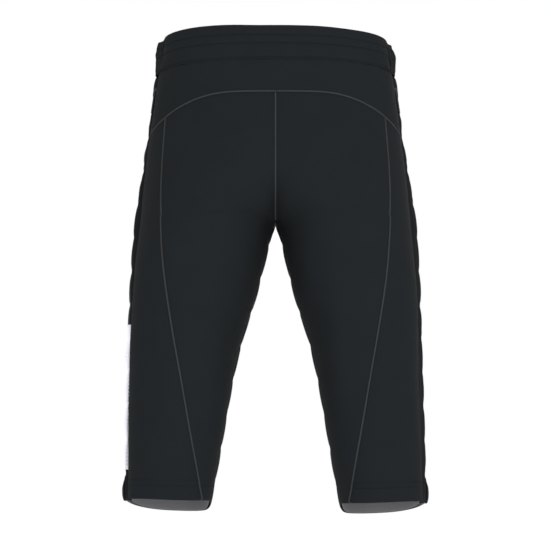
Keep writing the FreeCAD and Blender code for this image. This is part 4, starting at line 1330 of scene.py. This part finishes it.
def pocket_piece(name, low_u, high_u, low_z, high_z, depth, sign, middle=False):
    """The mesh cloth that holds a pad against the inside, sewn down round its edge."""
    u, z = ruled(low_u, high_u, low_z, high_z, 40, 34)
    i, j = shares(40, 34)
    side = j if middle else np.minimum(j, 1 - j)
    rise = smooth(np.minimum(i, 1 - i), 0.0, 0.07) * smooth(side, 0.0, 0.09)
    seam = POCKET_SEAM_BACK if depth > -20 else POCKET_SEAM_SIDE
    t = seam + (depth - seam) * rise + 0.35 * np.sin(u * 60 + z / 14.0) * rise
    faces = place(u, z, t), place(u, z, t - 0.7)
    outer, inner = (whole(face) if middle else face for face in faces)
    sheet_piece(name, outer, inner, [MESH], "pocket_mesh", "pad_pockets", sign=sign)


for word, sign in SIDES:
    pad_piece(word + "_hip_foam", zip_edge(-44.0), zip_edge(44.0), -228.0, -92.0, -23.0, -11.6,
              word + "_hip_pad", (4, 3), sign)
    pad_piece(word + "_thigh_foam", constant(-0.66), constant(-0.30), -425.0, -262.0, -14.0, -3.2,
              word + "_thigh_pad", (5, 3), sign)
    pocket_piece(word + "_hip_pocket", zip_edge(-49.0), zip_edge(49.0), -234.0, -86.0, -23.7, sign)
    pocket_piece(word + "_thigh_pocket", constant(-0.70), constant(-0.26), -431.0, -256.0, -14.7, sign)
pad_piece("tailbone_foam", constant(0.74), constant(1.0), -182.0, -96.0, -15.0, -3.2, "tailbone_pad",
          (3, 2), 1, middle=True)
pocket_piece("tailbone_pocket", constant(0.70), constant(1.0), -188.0, -90.0, -15.7, 1, middle=True)

# ---------------------------------------------------------------- hang loop and label
LOOP_THICK = 1.1
loop_low, loop_high = (np.array(corner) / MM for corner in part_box("hang_loop"))
half = (loop_high[0] - loop_low[0]) / 2
drop = loop_high[1] - loop_low[1] - LOOP_THICK
line = np.linspace(-1, 1, 61)
y = loop_high[1] - drop * smooth((1 - np.abs(line)) / 0.30 - 0.55, 0.0, 1.0) - 0.1
grid = np.array([[(a * half, b, c) for a, b in zip(line, y)]
                 for c in np.linspace(loop_low[2], loop_high[2], 5)])
loop = cloth_piece("hang_loop_strap", grid, grid - np.array([0, LOOP_THICK - 0.2, 0]), [WEBBING])
finish_piece(loop, "elastic_black", "hang_loop")

label_low, label_high = (np.array(corner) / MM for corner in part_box("blank_label"))
z, x = np.meshgrid(np.linspace(label_low[2], label_high[2], 13), np.linspace(label_low[0], label_high[0], 25),
                   indexing="ij")
bow = 0.125 * np.sin(x / 6.0) * np.sin((z - label_low[2]) / 9.0)
grid = np.stack([x, label_high[1] - 0.25 + bow, z], axis=-1)
sheet_piece("label_blank", grid, grid - np.array([0, 0.4, 0]), [LABEL], "label_white", "blank_label",
            subdivide=0)

# ---------------------------------------------------------------- threads as pieces
black_threads.make("black_stitching", THREAD_BLACK, "softshell_black")
grey_threads.make("seam_threads", THREAD_GREY, "piping_grey")
stripe_threads.make("stripe_stitching", THREAD_DARK, "stripe_white")

# ---------------------------------------------------------------- hard parts that keep their shape
HARD_NODES = [("zip_top_stops", TEETH), ("zip_bottom_box", TEETH), ("zip_slider", METAL), ("zip_pull", METAL),
              ("waist_snap_cap", SNAP), ("waist_snap_stud", SNAP)]
finishes = {"waist_eyelets": SNAP}
for word, sign in SIDES:
    for part, finish in HARD_NODES:
        finishes[f"{word}_{part}"] = finish
for name, finish in finishes.items():
    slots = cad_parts[name].data.materials
    slots.clear()
    slots.append(finish)

# ---------------------------------------------------------------- floor and light
FLOOR_Z = -1.03
floor_mesh = bpy.data.meshes.new("floor")
work = bmesh.new()
bmesh.ops.create_circle(work, cap_ends=True, segments=96, radius=30.0)
work.to_mesh(floor_mesh)
work.free()
floor = bpy.data.objects.new("floor", floor_mesh)
floor.location = (0, 0, FLOOR_Z)
bpy.context.scene.collection.objects.link(floor)
floor_paint, _, _, shader = material("floor_paint")
shader.inputs["Base Color"].default_value = (0.9, 0.9, 0.9, 1)
shader.inputs["Roughness"].default_value = 0.9
shader.inputs["Emission Color"].default_value = (1, 1, 1, 1)
shader.inputs["Emission Strength"].default_value = 0.35
floor_mesh.materials.append(floor_paint)

world = bpy.data.worlds.new("studio")
bpy.context.scene.world = world
world.use_nodes = True
background = world.node_tree.nodes["Background"]
background.inputs["Color"].default_value = (1, 1, 1, 1)
background.inputs["Strength"].default_value = 1.0


def soft_light(name, location, target, size, power):
    data = bpy.data.lights.new(name, "AREA")
    data.shape = "DISK"
    data.size = size
    data.energy = power
    lamp = bpy.data.objects.new(name, data)
    lamp.location = location
    lamp.rotation_euler = (Vector(target) - Vector(location)).to_track_quat("-Z", "Y").to_euler()
    bpy.context.scene.collection.objects.link(lamp)


MIDDLE = (0.0, 0.0, -0.3)
soft_light("key", (-2.0, 2.2, 1.3), MIDDLE, 1.4, 22.0)
soft_light("fill", (1.9, 2.0, 0.3), MIDDLE, 2.0, 3.0)
soft_light("near_camera", (-0.4, 2.6, -0.4), MIDDLE, 1.0, 15.0)
soft_light("front_fill", (-0.5, -2.6, 0.9), MIDDLE, 1.6, 19.0)
